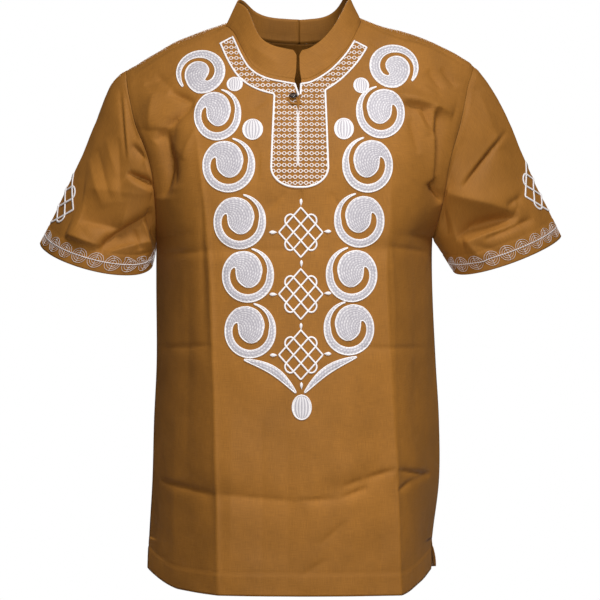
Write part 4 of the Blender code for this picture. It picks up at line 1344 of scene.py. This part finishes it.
def chain_pad(thread, ground, outer, inner):
    """Rows of chain stitch between two edges, each row parallel to the outer edge."""
    half_row = ROW_PITCH / 2
    lines = []
    runs = distances(outer)
    widest = max(math.dist(a, b) for a, b in zip(outer, inner))
    columns = int(math.ceil(widest / half_row)) + 1
    uneven = np.random.default_rng(columns).uniform(1 - LINK_UNEVEN, 1.0, (len(outer), columns))
    for i, (first, second) in enumerate(zip(outer, inner)):
        width = max(math.dist(first, second), PAD_NARROWEST)
        full = min(width / PAD_FULL_WIDTH, 1.0)
        line = []
        for j in range(columns):
            if j and (j - 1) * half_row >= width:
                line.append(line[-1])
                continue
            share = min(j * half_row / width, 1.0)
            x, z = mix(first[0], second[0], share), mix(first[1], second[1], share)
            crown = max(1 - (2 * share - 1) ** 4, 0.0)
            # Grooves between the rows get painted shade
            lift, shade = PAD_BASE + PAD_CROWN * crown * full, GROOVE_SHADE
            if j % 2 and share < 1.0:
                high = (i // CHAIN_STATIONS + j // 2) % 2
                lift += ROW_HEIGHT if high else ROW_HEIGHT * LOW_LINK
                # The low links get painted shade; the unevenness from link to link is the
                # thread's own
                shade = 1.0 if high else LINK_SHADE
                shade *= uneven[i // CHAIN_STATIONS, j]
            # The pad's edges get a little painted shade
            if share in (0.0, 1.0):
                lift, shade = PAD_BASE, PAD_EDGE_SHADE
            point, normal = ground.at(x, z)
            line.append(thread.point(point + normal * lift, shade, (runs[i], share * width)))
        lines.append(line)
    thread.cells(lines)


def edged_pad(name, ground, outer, inner, material, *nodes):
    """A chain-stitched pad with its bright outline cord."""
    thread = Thread()
    chain_pad(thread, ground, outer, inner)
    border = spaced(np.concatenate([outer, inner[::-1]]), CORD_STEP, closed=True)
    cord(thread, ground, border, OUTLINE_LIFT, OUTLINE_WIDTH, OUTLINE_HEIGHT, closed=True)
    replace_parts(thread.finish(name, material), *nodes)


def scroll_edges(row):
    """Both edges of a scroll: a thin start, a round band and a full curled head."""
    name, side, x, z, width, height = row
    table = np.array(TOP_SCROLL_OUTLINE if name.endswith("_1") else SCROLL_OUTLINE)
    knots = np.arange(len(table))
    marks = np.linspace(0, knots[-1], SCROLL_POINTS)
    edges = []
    for turn_column in (0, 2):
        turns = np.interp(marks, knots, table[:, turn_column])
        reach = np.interp(marks, knots, table[:, turn_column + 1]) * SCROLL_RADIUS
        angles = np.radians(turns)
        across = x - side * np.sin(angles) * reach * width
        up = z + np.cos(angles) * reach * height
        edges.append(np.stack([across, up], axis=1))
    both = spaced(np.concatenate(edges, axis=1), STITCH_STEP * math.sqrt(2))
    return both[:, :2], both[:, 2:]


def leaf_edges(row):
    """Both edges of a leaf."""
    _, x0, z0, x1, z1, half_width, bow = row
    along = np.array((x1 - x0, z1 - z0))
    across = np.array((-along[1], along[0])) / np.linalg.norm(along)
    if across[1] < 0:
        across = -across
    first, second = [], []
    for share in np.linspace(0.0, 1.0, OUTLINE_POINTS):
        wave = math.sin(math.pi * share)
        middle = np.array((x0, z0)) + along * share + across * (bow * wave)
        half = half_width * mix(LEAF_TIP, 1.0, wave ** LEAF_ROUNDNESS)
        first.append(middle + across * half)
        second.append(middle - across * half)
    both = spaced(np.concatenate([first, second], axis=1), STITCH_STEP * math.sqrt(2))
    return both[:, :2], both[:, 2:]


def satin_oval(row, ground, material):
    """Crowned oval of upright satin columns inside a bright outline."""
    name, x, z, half_width, half_height = row
    thread = Thread()
    lines = []
    for up in np.linspace(-1.0, 1.0, OVAL_ROWS + 1):
        wide = math.sqrt(max(1 - up * up, 0.0))
        line = []
        for k in range(2 * OVAL_COLUMNS + 1):
            side = k / OVAL_COLUMNS - 1
            crown = math.sqrt(max(1 - (side * wide) ** 2 - up * up, 0.0))
            groove = k % 2 == 0 and 0 < k < 2 * OVAL_COLUMNS
            lift = PAD_BASE + OVAL_CROWN * crown - (OVAL_GROOVE if groove else 0.0) * wide
            point, normal = ground.at(x + side * wide * half_width, z + up * half_height)
            # Grooves between the satin columns get painted shade
            shade = GROOVE_SHADE if groove else 1.0
            line.append(thread.point(point + normal * lift, shade, (up * half_height, side)))
        lines.append(line)
    thread.cells(lines)
    turns = np.linspace(0.0, 2 * math.pi, OUTLINE_POINTS, endpoint=False)
    path = [(x + half_width * math.cos(t), z + half_height * math.sin(t)) for t in turns]
    border = spaced(path, CORD_STEP, closed=True)
    cord(thread, ground, border, OUTLINE_LIFT, OUTLINE_WIDTH, OUTLINE_HEIGHT, closed=True)
    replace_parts(thread.finish(name, material), name)


class Shifted:
    """Another ground with its middle moved."""

    def __init__(self, ground, x, z):
        self.ground, self.x, self.z = ground, x, z

    def at(self, x, z):
        return self.ground.at(self.x + x, self.z + z)


def knot(thread, ground, half_width, half_height, width=KNOT_CORD):
    """Interlaced lattice knot: a rhombus and two looped bands that cross inside it."""
    top, left, right = (0.0, half_height), (-half_width, 0.0), (half_width, 0.0)
    bottom = (0.0, -half_height)
    outline = spaced([top, right, bottom, left], KNOT_STEP, closed=True)
    cord(thread, ground, outline, KNOT_LIFT, width, KNOT_CORD_HEIGHT, closed=True)
    for turn in (1, -1):
        side_way = np.array((turn * half_width, -half_height))
        run_way = np.array((-turn * half_width, -half_height))
        path = []
        for share in np.linspace(0.0, 1.0, KNOT_RUN_POINTS):
            path.append((1 / 3, share, 0.0))
        for angle in np.linspace(0.0, math.pi, KNOT_TURN_POINTS)[1:-1]:
            path.append((0.5 - math.cos(angle) / 6, 1.0, math.sin(angle)))
        for share in np.linspace(1.0, 0.0, KNOT_RUN_POINTS):
            path.append((2 / 3, share, 0.0))
        for angle in np.linspace(math.pi, 2 * math.pi, KNOT_TURN_POINTS)[1:-1]:
            path.append((0.5 - math.cos(angle) / 6, 0.0, math.sin(angle)))
        out = run_way / np.linalg.norm(run_way)
        flat = [
            np.array(top) + side_way * s + run_way * t + out * (beyond * KNOT_LOOP)
            for s, t, beyond in path
        ]
        weave = [
            turn * KNOT_WEAVE * math.cos(3 * math.pi * t) * (1 if s < 0.5 else -1)
            * (1.0 if beyond == 0.0 else 0.0)
            for s, t, beyond in path
        ]
        joined = spaced(
            np.concatenate([np.array(flat), np.array(weave)[:, None]], axis=1),
            KNOT_STEP, closed=True,
        )
        lift = KNOT_LIFT + joined[:, 2]
        cord(thread, ground, joined[:, :2], lift, width, KNOT_CORD_HEIGHT, closed=True)


def bead(thread, ground, first, second, half_width):
    """Small satin drop that narrows towards its second end."""
    path = spaced([first, second], BEAD_STEP)
    places, normals = lay(ground, path, BEAD_LIFT)
    across = np.cross(unit(np.gradient(places, axis=0)), normals)
    lines = []
    for i, place in enumerate(places):
        share = i / (len(places) - 1)
        wide = half_width * max(math.sin(math.pi * share ** BEAD_FULLEST), BEAD_THIN)
        line = []
        for k in range(BEAD_SIDES):
            angle = 2 * math.pi * k / BEAD_SIDES
            up = BEAD_FLATNESS * math.sin(angle)
            offset = across[i] * math.cos(angle) + normals[i] * up
            line.append(thread.point(place + offset * wide, 1.0, (share / 100, k / BEAD_SIDES)))
        lines.append(line)
    thread.cells(lines, round_lines=True)
    thread.ends(lines)


def neckline_at(side, share):
    """Place of the front neckline at a share of its half width, as if on the right."""
    half = NECK_HALF[side_index(side)]
    shoulder_z = curve_at(RIDGE, half, 1 + side_index(side)) - curve_at(RIDGE, half, 3)
    rise = curve_at(NECKLINE, share, 1 + side_index(side))
    return Vector((half * share, mix(NECK_FRONT_Z, shoulder_z, rise)))


def band_line(side, reach):
    """Line along the neck band at a distance from its inner edge, from slit to shoulder."""
    line = []
    shoulder_start = BAND_START_SHOULDER[side_index(side)]
    for way in np.linspace(0.0, 1.0, BAND_STEPS):
        share = BAND_END * float(way)
        ahead = neckline_at(side, share + BAND_BESIDE)
        along = ahead - neckline_at(side, max(share - BAND_BESIDE, 0.0))
        out = Vector((along.y, -along.x)).normalized()
        start = mix(BAND_START_MIDDLE, shoulder_start, float(way))
        place = neckline_at(side, share) + out * (start + reach)
        line.append((side * max(place.x, BAND_SLIT_HALF), place.y))
    return np.array(line)


def bib_side(side):
    """Outer edge of the bib from the neck band down to its round foot."""
    middle = (BIB_LEFT + BIB_RIGHT) / 2
    edge, top_x = (BIB_LEFT, BIB_TOP_LEFT) if side < 0 else (BIB_RIGHT, BIB_TOP_RIGHT)
    outer = band_line(side, BAND_WIDTH)
    top = float(np.interp(abs(top_x), np.abs(outer[:, 0]), outer[:, 1]))
    line = [(top_x, top)]
    for below in np.sin(np.linspace(0.0, math.pi / 2, BIB_CURVE_POINTS)):
        z = mix(BIB_CURVE_Z, BIB_FOOT_Z, float(below))
        spread = math.sqrt(max(1 - below ** 2, 0.0))
        line.append((mix(middle, edge, mix(BIB_FOOT_SHARE, 1.0, spread)), z))
    return np.array(line)


def inside(polygon, x, z):
    """Whether a place lies inside a polygon."""
    hit = False
    for (x0, z0), (x1, z1) in zip(polygon, np.roll(polygon, -1, axis=0)):
        if (z0 > z) != (z1 > z) and x < x0 + (z - z0) / (z1 - z0) * (x1 - x0):
            hit = not hit
    return hit


def inset(path, distance):
    """A path moved to its right by a distance."""
    along = unit(np.gradient(path, axis=0))
    return path + distance * np.stack([along[:, 1], -along[:, 0]], axis=1)


def circle(x, z, radius, count):
    """Points round a circle."""
    turns = np.linspace(0.0, 2 * math.pi, count, endpoint=False)
    return np.stack([x + radius * np.cos(turns), z + radius * np.sin(turns)], axis=1)


def flat_cord(thread, ground, path, width=BORDER_WIDTH):
    """Flat raised border along a path."""
    cord(thread, ground, spaced(path, BORDER_STEP), BORDER_LIFT, width / 2, BORDER_HEIGHT)


def fine_cord(thread, ground, path, lift, half_width, closed=False):
    """Thin round cord along a path."""
    cord(thread, ground, path, lift, half_width, half_width, closed, FINE_CORD_SIDES)


def clipped(polygon, path):
    """The part of a closed path that lies inside a polygon, and whether that is all of it."""
    kept = [inside(polygon, *place) for place in path]
    if all(kept) or not any(kept):
        return (path if all(kept) else path[:0]), True
    first = next(k for k in range(len(path)) if kept[k] and not kept[k - 1])
    path, kept = np.roll(path, -first, axis=0), np.roll(kept, -first)
    return path[:int(np.argmin(kept))], False


def lattice(ground, polygons):
    """Linked rings on one level grid, cut off where they run under the borders."""
    thread = Thread()
    rows = np.arange(LATTICE_TOP, BIB_FOOT_Z, -LATTICE_ROW)
    columns = np.arange(-LATTICE_REACH, LATTICE_REACH + 1) * LATTICE_COLUMN + LATTICE_X
    half = LATTICE_COLUMN / 2
    for polygon in polygons:
        low, high = polygon.min(axis=0) - LATTICE_RING, polygon.max(axis=0) + LATTICE_RING
        for z in rows[(rows > low[1]) & (rows < high[1])]:
            for x in columns[(columns > low[0]) & (columns < high[0])]:
                ring, closed = clipped(polygon, circle(x, z, LATTICE_RING, LATTICE_POINTS))
                if len(ring) > 2:
                    fine_cord(thread, ground, ring, LATTICE_LIFT, LATTICE_CORD, closed)
                link = [(x + LATTICE_RING, z), (x + LATTICE_COLUMN - LATTICE_RING, z)]
                over_slit = abs(x + half) < half and z > SLIT_FOOT_Z
                if not over_slit and all(inside(polygon, *place) for place in link):
                    link = spaced(link, LATTICE_LINK_STEP)
                    fine_cord(thread, ground, link, LATTICE_LIFT, LATTICE_CORD)
    return thread


def sleeve_wheels(thread, sleeve, length, start):
    """Ringed wheels with one upright bar each, round the sleeve's hem on a line."""
    count = int(round(length / WHEEL_SPACING))
    step = length / count
    marks = range(WHEEL_LINE_POINTS)
    line = [(start + length * k / WHEEL_LINE_POINTS, WHEEL_ABOVE) for k in marks]
    fine_cord(thread, sleeve, line, WHEEL_LIFT, WHEEL_LINE, closed=True)
    for k in range(count):
        x = start + step * (k + 0.5)
        for radius in WHEEL_RADII:
            path = circle(x, WHEEL_ABOVE, radius, int(radius * WHEEL_FINENESS))
            fine_cord(thread, sleeve, path, WHEEL_LIFT, WHEEL_CORD, closed=True)
        ends = [(x, WHEEL_ABOVE - WHEEL_RADII[0]), (x, WHEEL_ABOVE + WHEEL_RADII[0])]
        fine_cord(thread, sleeve, spaced(ends, WHEEL_BAR_STEP), WHEEL_LIFT, WHEEL_CORD)


class Looks:
    """Nodes of one material."""

    def __init__(self, name):
        self.material = bpy.data.materials.new(name)
        self.material.use_nodes = True
        self.tree = self.material.node_tree
        self.shader = self.tree.nodes["Principled BSDF"]

    def feed(self, socket, value):
        """Links another node to an input, or sets the input to a value."""
        if isinstance(value, bpy.types.NodeSocket):
            self.tree.links.new(value, socket)
        else:
            socket.default_value = value

    def node(self, kind, **inputs):
        node = self.tree.nodes.new("ShaderNode" + kind)
        for key, value in inputs.items():
            self.feed(node.inputs[key.replace("_", " ").title()], value)
        return node

    def place(self):
        return self.node("TexCoord").outputs["Object"]

    def stretched(self, vector, scales):
        return self.node("Mapping", vector=vector, scale=scales).outputs["Vector"]

    def noise(self, vector, scale):
        node = self.node("TexNoise", vector=vector, scale=scale, detail=NOISE_DETAIL)
        return node.outputs["Fac"]

    def waves(self, vector, scale, direction):
        node = self.node("TexWave", vector=vector, scale=scale)
        node.bands_direction = direction
        return node.outputs["Fac"]

    def ranged(self, value, span, target):
        node = self.node(
            "MapRange", value=value, from_min=span[0], from_max=span[1],
            to_min=target[0], to_max=target[1],
        )
        return node.outputs["Result"]

    def blend(self, factor, first, second, kind="MIX"):
        node = self.node("Mix")
        node.data_type = "RGBA"
        node.blend_type = kind
        for number, value in ((0, factor), (6, first), (7, second)):
            self.feed(node.inputs[number], value)
        return node.outputs[2]

    def maths(self, kind, first, second):
        node = self.node("Math")
        node.operation = kind
        for socket, value in zip(node.inputs, (first, second)):
            self.feed(socket, value)
        return node.outputs[0]

    def bump(self, height, depth, normal=None):
        node = self.node("Bump", height=height, distance=depth[0], strength=depth[1])
        if normal is not None:
            self.feed(node.inputs["Normal"], normal)
        return node.outputs["Normal"]

    def surface(self, colour, roughness, normal):
        self.tree.links.new(colour, self.shader.inputs["Base Color"])
        self.tree.links.new(roughness, self.shader.inputs["Roughness"])
        self.tree.links.new(normal, self.shader.inputs["Normal"])

    def constants(self, **values):
        for key, value in values.items():
            self.shader.inputs[key.replace("_", " ")].default_value = value


def cloth_look(name, colour):
    """Plain-woven cotton with slubs, a soft sheen and slight colour changes."""
    looks = Looks(name)
    flat = looks.node("UVMap").outputs["UV"]
    place = looks.place()
    warp, weft = [looks.noise(looks.stretched(flat, scales), 1.0) for scales in SLUB_SCALES]
    slubs = looks.maths("ADD", warp, weft)
    broad = looks.noise(place, BROAD_SCALE)
    patches = looks.noise(looks.stretched(place, PATCH_SCALES), 1.0)
    tone = looks.ranged(slubs, SLUB_RANGE, SLUB_TONE)
    for changes in (broad, patches):
        tone = looks.maths("MULTIPLY", tone, looks.ranged(changes, NOISE_RANGE, CLOTH_TONE))
    shade = looks.blend(1.0, (*colour, 1.0), tone, "MULTIPLY")
    across, up = [looks.waves(flat, WEAVE_SCALE, direction) for direction in "XY"]
    normal = looks.bump(slubs, SLUB_BUMP)
    normal = looks.bump(looks.maths("MULTIPLY", across, up), WEAVE_BUMP, normal)
    looks.surface(shade, looks.ranged(broad, NOISE_RANGE, CLOTH_ROUGH), normal)
    looks.constants(Sheen_Weight=0.05, Sheen_Roughness=0.5, Sheen_Tint=(0.9, 0.6, 0.3, 1.0),
                    Specular_IOR_Level=0.25)
    return looks.material


def thread_look(name, light, dark):
    """Glossy cotton thread, with shade painted into the grooves between its rows and under its
    cords.
    """
    looks = Looks(name)
    place = looks.place()
    # Painted shade of each point, kept with the stitching
    attribute = looks.node("Attribute")
    attribute.attribute_name = "shade"
    fine = looks.noise(place, THREAD_SCALE)
    broad = looks.ranged(looks.noise(place, THREAD_BROAD_SCALE), NOISE_RANGE, THREAD_DEPTH)
    depth = looks.maths("MULTIPLY", attribute.outputs["Fac"], broad)
    # Painted shade: the dark colour comes in where the stored shade is low
    shade = looks.blend(depth, (*dark, 1.0), (*light, 1.0))
    tone = looks.ranged(fine, NOISE_RANGE, THREAD_TONE)
    shade = looks.blend(1.0, shade, tone, "MULTIPLY")
    rough = looks.ranged(fine, NOISE_RANGE, THREAD_ROUGH)
    looks.surface(shade, rough, looks.bump(fine, THREAD_BUMP))
    looks.constants(Sheen_Weight=0.25, Sheen_Roughness=0.4)
    return looks.material


def gloss_look(name, colour):
    """Polished dark surface."""
    looks = Looks(name)
    fine = looks.noise(looks.place(), GLOSS_SCALE)
    brighter = tuple(part * GLOSS_BRIGHTER for part in colour)
    shade = looks.blend(fine, (*colour, 1.0), (*brighter, 1.0))
    rough = looks.ranged(fine, NOISE_RANGE, GLOSS_ROUGH)
    looks.surface(shade, rough, looks.bump(fine, GLOSS_BUMP))
    looks.constants(Coat_Weight=0.6)
    return looks.material


def make_button(ground, material):
    """Turned button with a raised rim, tipped so that its face looks a little upwards."""
    point, normal = ground.at(BUTTON_X, BUTTON_Z)
    turn = Quaternion((1.0, 0.0, 0.0), BUTTON_TILT) @ normal.to_track_quat("Z", "Y")
    thread = Thread()
    lines = []
    for radius, height in BUTTON_PROFILE:
        line = []
        for k in range(BUTTON_SEGMENTS):
            angle = 2 * math.pi * k / BUTTON_SEGMENTS
            spot = Vector((radius * math.cos(angle), radius * math.sin(angle), height))
            line.append(thread.point(point + turn @ spot, 1.0, (spot.x, spot.y)))
        lines.append(line)
    thread.cells(lines, round_lines=True)
    thread.faces.append(tuple(reversed(lines[0])))
    thread.faces.append(tuple(lines[-1]))
    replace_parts(thread.finish("button_turned", material, "button"), "button")


def make_light(name, kind, power, direction):
    """Light that shines in a direction."""
    data = bpy.data.lights.new(name, kind)
    data.energy = power
    light = bpy.data.objects.new(name, data)
    light.rotation_euler = Vector(direction).to_track_quat("-Z", "Y").to_euler()
    bpy.context.scene.collection.objects.link(light)
    return light


def make_lights():
    """Tall soft key light close to the front, and suns from above and from behind."""
    key = make_light("key", "AREA", KEY_POWER, Vector(KEY_AIM) - Vector(KEY_PLACE))
    key.data.shape = "RECTANGLE"
    key.data.size, key.data.size_y = KEY_SIZE
    key.location = KEY_PLACE
    key.visible_camera = False
    for name, strength, angle, direction in SUNS:
        sun = make_light(name, "SUN", strength, direction)
        sun.data.angle = math.radians(angle)


def make_world():
    """Soft room light, with a plain white backdrop behind the shirt."""
    world = bpy.data.worlds.new("room")
    bpy.context.scene.world = world
    world.use_nodes = True
    tree = world.node_tree
    room = tree.nodes["Background"]
    room.inputs["Color"].default_value = (*ROOM_COLOUR, 1.0)
    room.inputs["Strength"].default_value = ROOM_STRENGTH
    backdrop = tree.nodes.new("ShaderNodeBackground")
    backdrop.inputs["Color"].default_value = (1.0, 1.0, 1.0, 1.0)
    backdrop.inputs["Strength"].default_value = BACKDROP_STRENGTH
    path = tree.nodes.new("ShaderNodeLightPath")
    choice = tree.nodes.new("ShaderNodeMixShader")
    tree.links.new(path.outputs["Is Camera Ray"], choice.inputs["Fac"])
    tree.links.new(room.outputs["Background"], choice.inputs[1])
    tree.links.new(backdrop.outputs["Background"], choice.inputs[2])
    tree.links.new(choice.outputs["Shader"], tree.nodes["World Output"].inputs["Surface"])


def make_floor():
    """Plain pale floor below the shirt."""
    bpy.ops.mesh.primitive_circle_add(
        vertices=64, radius=FLOOR_RADIUS, fill_type="NGON", location=(0.0, 0.0, FLOOR_Z)
    )
    floor = bpy.context.active_object
    floor.name = "floor"
    looks = Looks("floor_paper")
    fine = looks.noise(looks.place(), FLOOR_SCALE)
    shade = looks.blend(fine, *((grey, grey, grey, 1.0) for grey in FLOOR_GREYS))
    rough = looks.ranged(fine, NOISE_RANGE, FLOOR_ROUGH)
    looks.surface(shade, rough, looks.bump(fine, FLOOR_BUMP))
    floor.data.materials.append(looks.material)
    floor.visible_diffuse = False


def make_camera():
    """Level camera that looks straight at the front."""
    data = bpy.data.cameras.new("camera")
    data.lens = CAMERA_LENS
    data.sensor_width = CAMERA_SENSOR
    camera = bpy.data.objects.new("camera", data)
    camera.location = CAMERA_PLACE
    camera.rotation_euler = (math.pi / 2, 0.0, 0.0)
    bpy.context.scene.collection.objects.link(camera)
    bpy.context.scene.camera = camera
    bpy.context.scene.view_settings.view_transform = "Standard"


cotton = cloth_look("cotton", COTTON)
white = thread_look("white_thread", WHITE_THREAD, WHITE_THREAD_PAINTED_SHADE)
cream = thread_look("cream_thread", CREAM_THREAD, CREAM_THREAD_PAINTED_SHADE)
black = gloss_look("black_gloss", BLACK)

front_raw, back_raw = body_grid(0), body_grid(1)
middle = HALF_COLUMNS * FINE
slit_row = int(np.searchsorted(front_raw[:, middle, 2], SLIT_FOOT_Z))
slit_row += slit_row % 2
slit_cells = {(row, middle) for row in range(slit_row, len(front_raw) - 1)}
body_seams = ("first", "last", "top")
front_creases = creases_seen(FRONT_CREASES_SEEN, FRONT_POINT)
sleeve_creases = creases_seen(SLEEVE_CREASES_SEEN, SLEEVE_POINT)
front_points = finished_grid(front_raw, front_creases, 1, body_seams, ("bottom", HEM_DEPTH))
back_points = finished_grid(back_raw, BACK_CREASES, 2, body_seams, ("bottom", HEM_DEPTH))
collar_points = finished_grid(
    collar_grid(front_raw, back_raw), COLLAR_CREASES, 3, ("bottom",), front_only=True
)
front = shell("front_cloth", front_points, CLOTH, cotton, slit=(slit_row, middle))
back = shell("back_cloth", back_points, CLOTH, cotton)
collar = shell("collar_cloth", collar_points, COLLAR_CLOTH, cotton)
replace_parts(front, "front")
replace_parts(back, "back")
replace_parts(collar, "collar")
sleeves = []
for number, row in enumerate(SLEEVES):
    points = finished_grid(
        sleeve_grid(front_raw, back_raw, row), sleeve_creases, 4 + number, ("bottom",),
        ("top", SLEEVE_HEM), closed=True, front_only=True,
    )
    piece = shell(row[0] + "_cloth", points, CLOTH, cotton, closed=True)
    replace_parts(piece, row[0])
    sleeves.append((piece, Sleeve(points, row[1])))

ground = Front(cloth_tree(front_points, slit_cells))
for row in SCROLLS:
    edged_pad(row[0] + "_stitched", ground, *scroll_edges(row), white, row[0])
for row in LEAVES:
    edged_pad(row[0] + "_stitched", ground, *leaf_edges(row), white, row[0])
for row in OVALS:
    satin_oval(row, ground, white)

knots = Thread()
for x, z, half_width, half_height in KNOTS:
    knot(knots, Shifted(ground, x, z), half_width, half_height)
for x0, z0, x1, z1, half_width in BEADS:
    bead(knots, ground, (x0, z0), (x1, z1), half_width)
knots.finish("front_knots", white)

borders = Thread()
half_border = BORDER_WIDTH / 2
polygons, bib_edges, bib_tops, sides = [], [], [], []
for side in (-1, 1):
    inner, outer, edge = band_line(side, 0.0), band_line(side, BAND_WIDTH), bib_side(side)
    polygons.append(np.concatenate([inner, outer[::-1]]))
    flat_cord(borders, ground, inset(inner, -side * half_border))
    corner = abs(edge[0, 0])
    bib_edges.append(edge)
    bib_tops.append(outer[np.abs(outer[:, 0]) < corner])
    sides.append(np.concatenate([inner[-1:], outer[np.abs(outer[:, 0]) > corner][::-1], edge]))
polygons.append(np.concatenate([
    bib_edges[0], bib_edges[1][::-1], bib_tops[1][::-1], bib_tops[0]
]))
rim = spaced(np.concatenate([sides[0], sides[1][::-1]]), BORDER_STEP)
flat_cord(borders, ground, inset(rim, -half_border))
for side in (-1, 1):
    piping = [(side * SLIT_PIPING, SLIT_PIPING_TOP), (side * SLIT_PIPING, SLIT_FOOT_Z)]
    flat_cord(borders, ground, piping, width=SLIT_PIPING_WIDTH)
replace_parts(borders.finish("neck_borders", white), "neck_band_left", "neck_band_right")
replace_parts(lattice(ground, polygons).finish("lattice", cream), "bib")

loop = Thread()
loop_z = BUTTON_Z - LOOP_DROP
turns = np.linspace(math.pi / 2, 3 * math.pi / 2, LOOP_POINTS)
path = [(BUTTON_X + LOOP_RADIUS * math.cos(t), loop_z + LOOP_RADIUS * math.sin(t)) for t in turns]
path = [(LOOP_END_X, loop_z + LOOP_RADIUS), *path, (LOOP_END_X, loop_z - LOOP_RADIUS)]
cord(loop, ground, spaced(path, LOOP_STEP), LOOP_LIFT, LOOP_HALF, LOOP_HALF * LOOP_FLATNESS)
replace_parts(loop.finish("button_loop_cord", cotton, "cloth"), "button_loop")
make_button(ground, black)

for number, (piece, sleeve) in enumerate(sleeves):
    side = SLEEVES[number][1]
    thread = Thread()
    above = SLEEVE_KNOT_ABOVE[number]
    knot(thread, Shifted(sleeve, 0.0, above), *SLEEVE_KNOT)
    thread.finish(SLEEVES[number][0] + "_knot", white)
    wheels = Thread()
    length = float(sleeve.around[-1, -1] - sleeve.around[-1, 0]) * side
    sleeve_wheels(wheels, sleeve, abs(length), -abs(length) / 2)
    wheels.finish(SLEEVES[number][0] + "_wheels", white)

make_camera()
make_world()
make_floor()
make_lights()
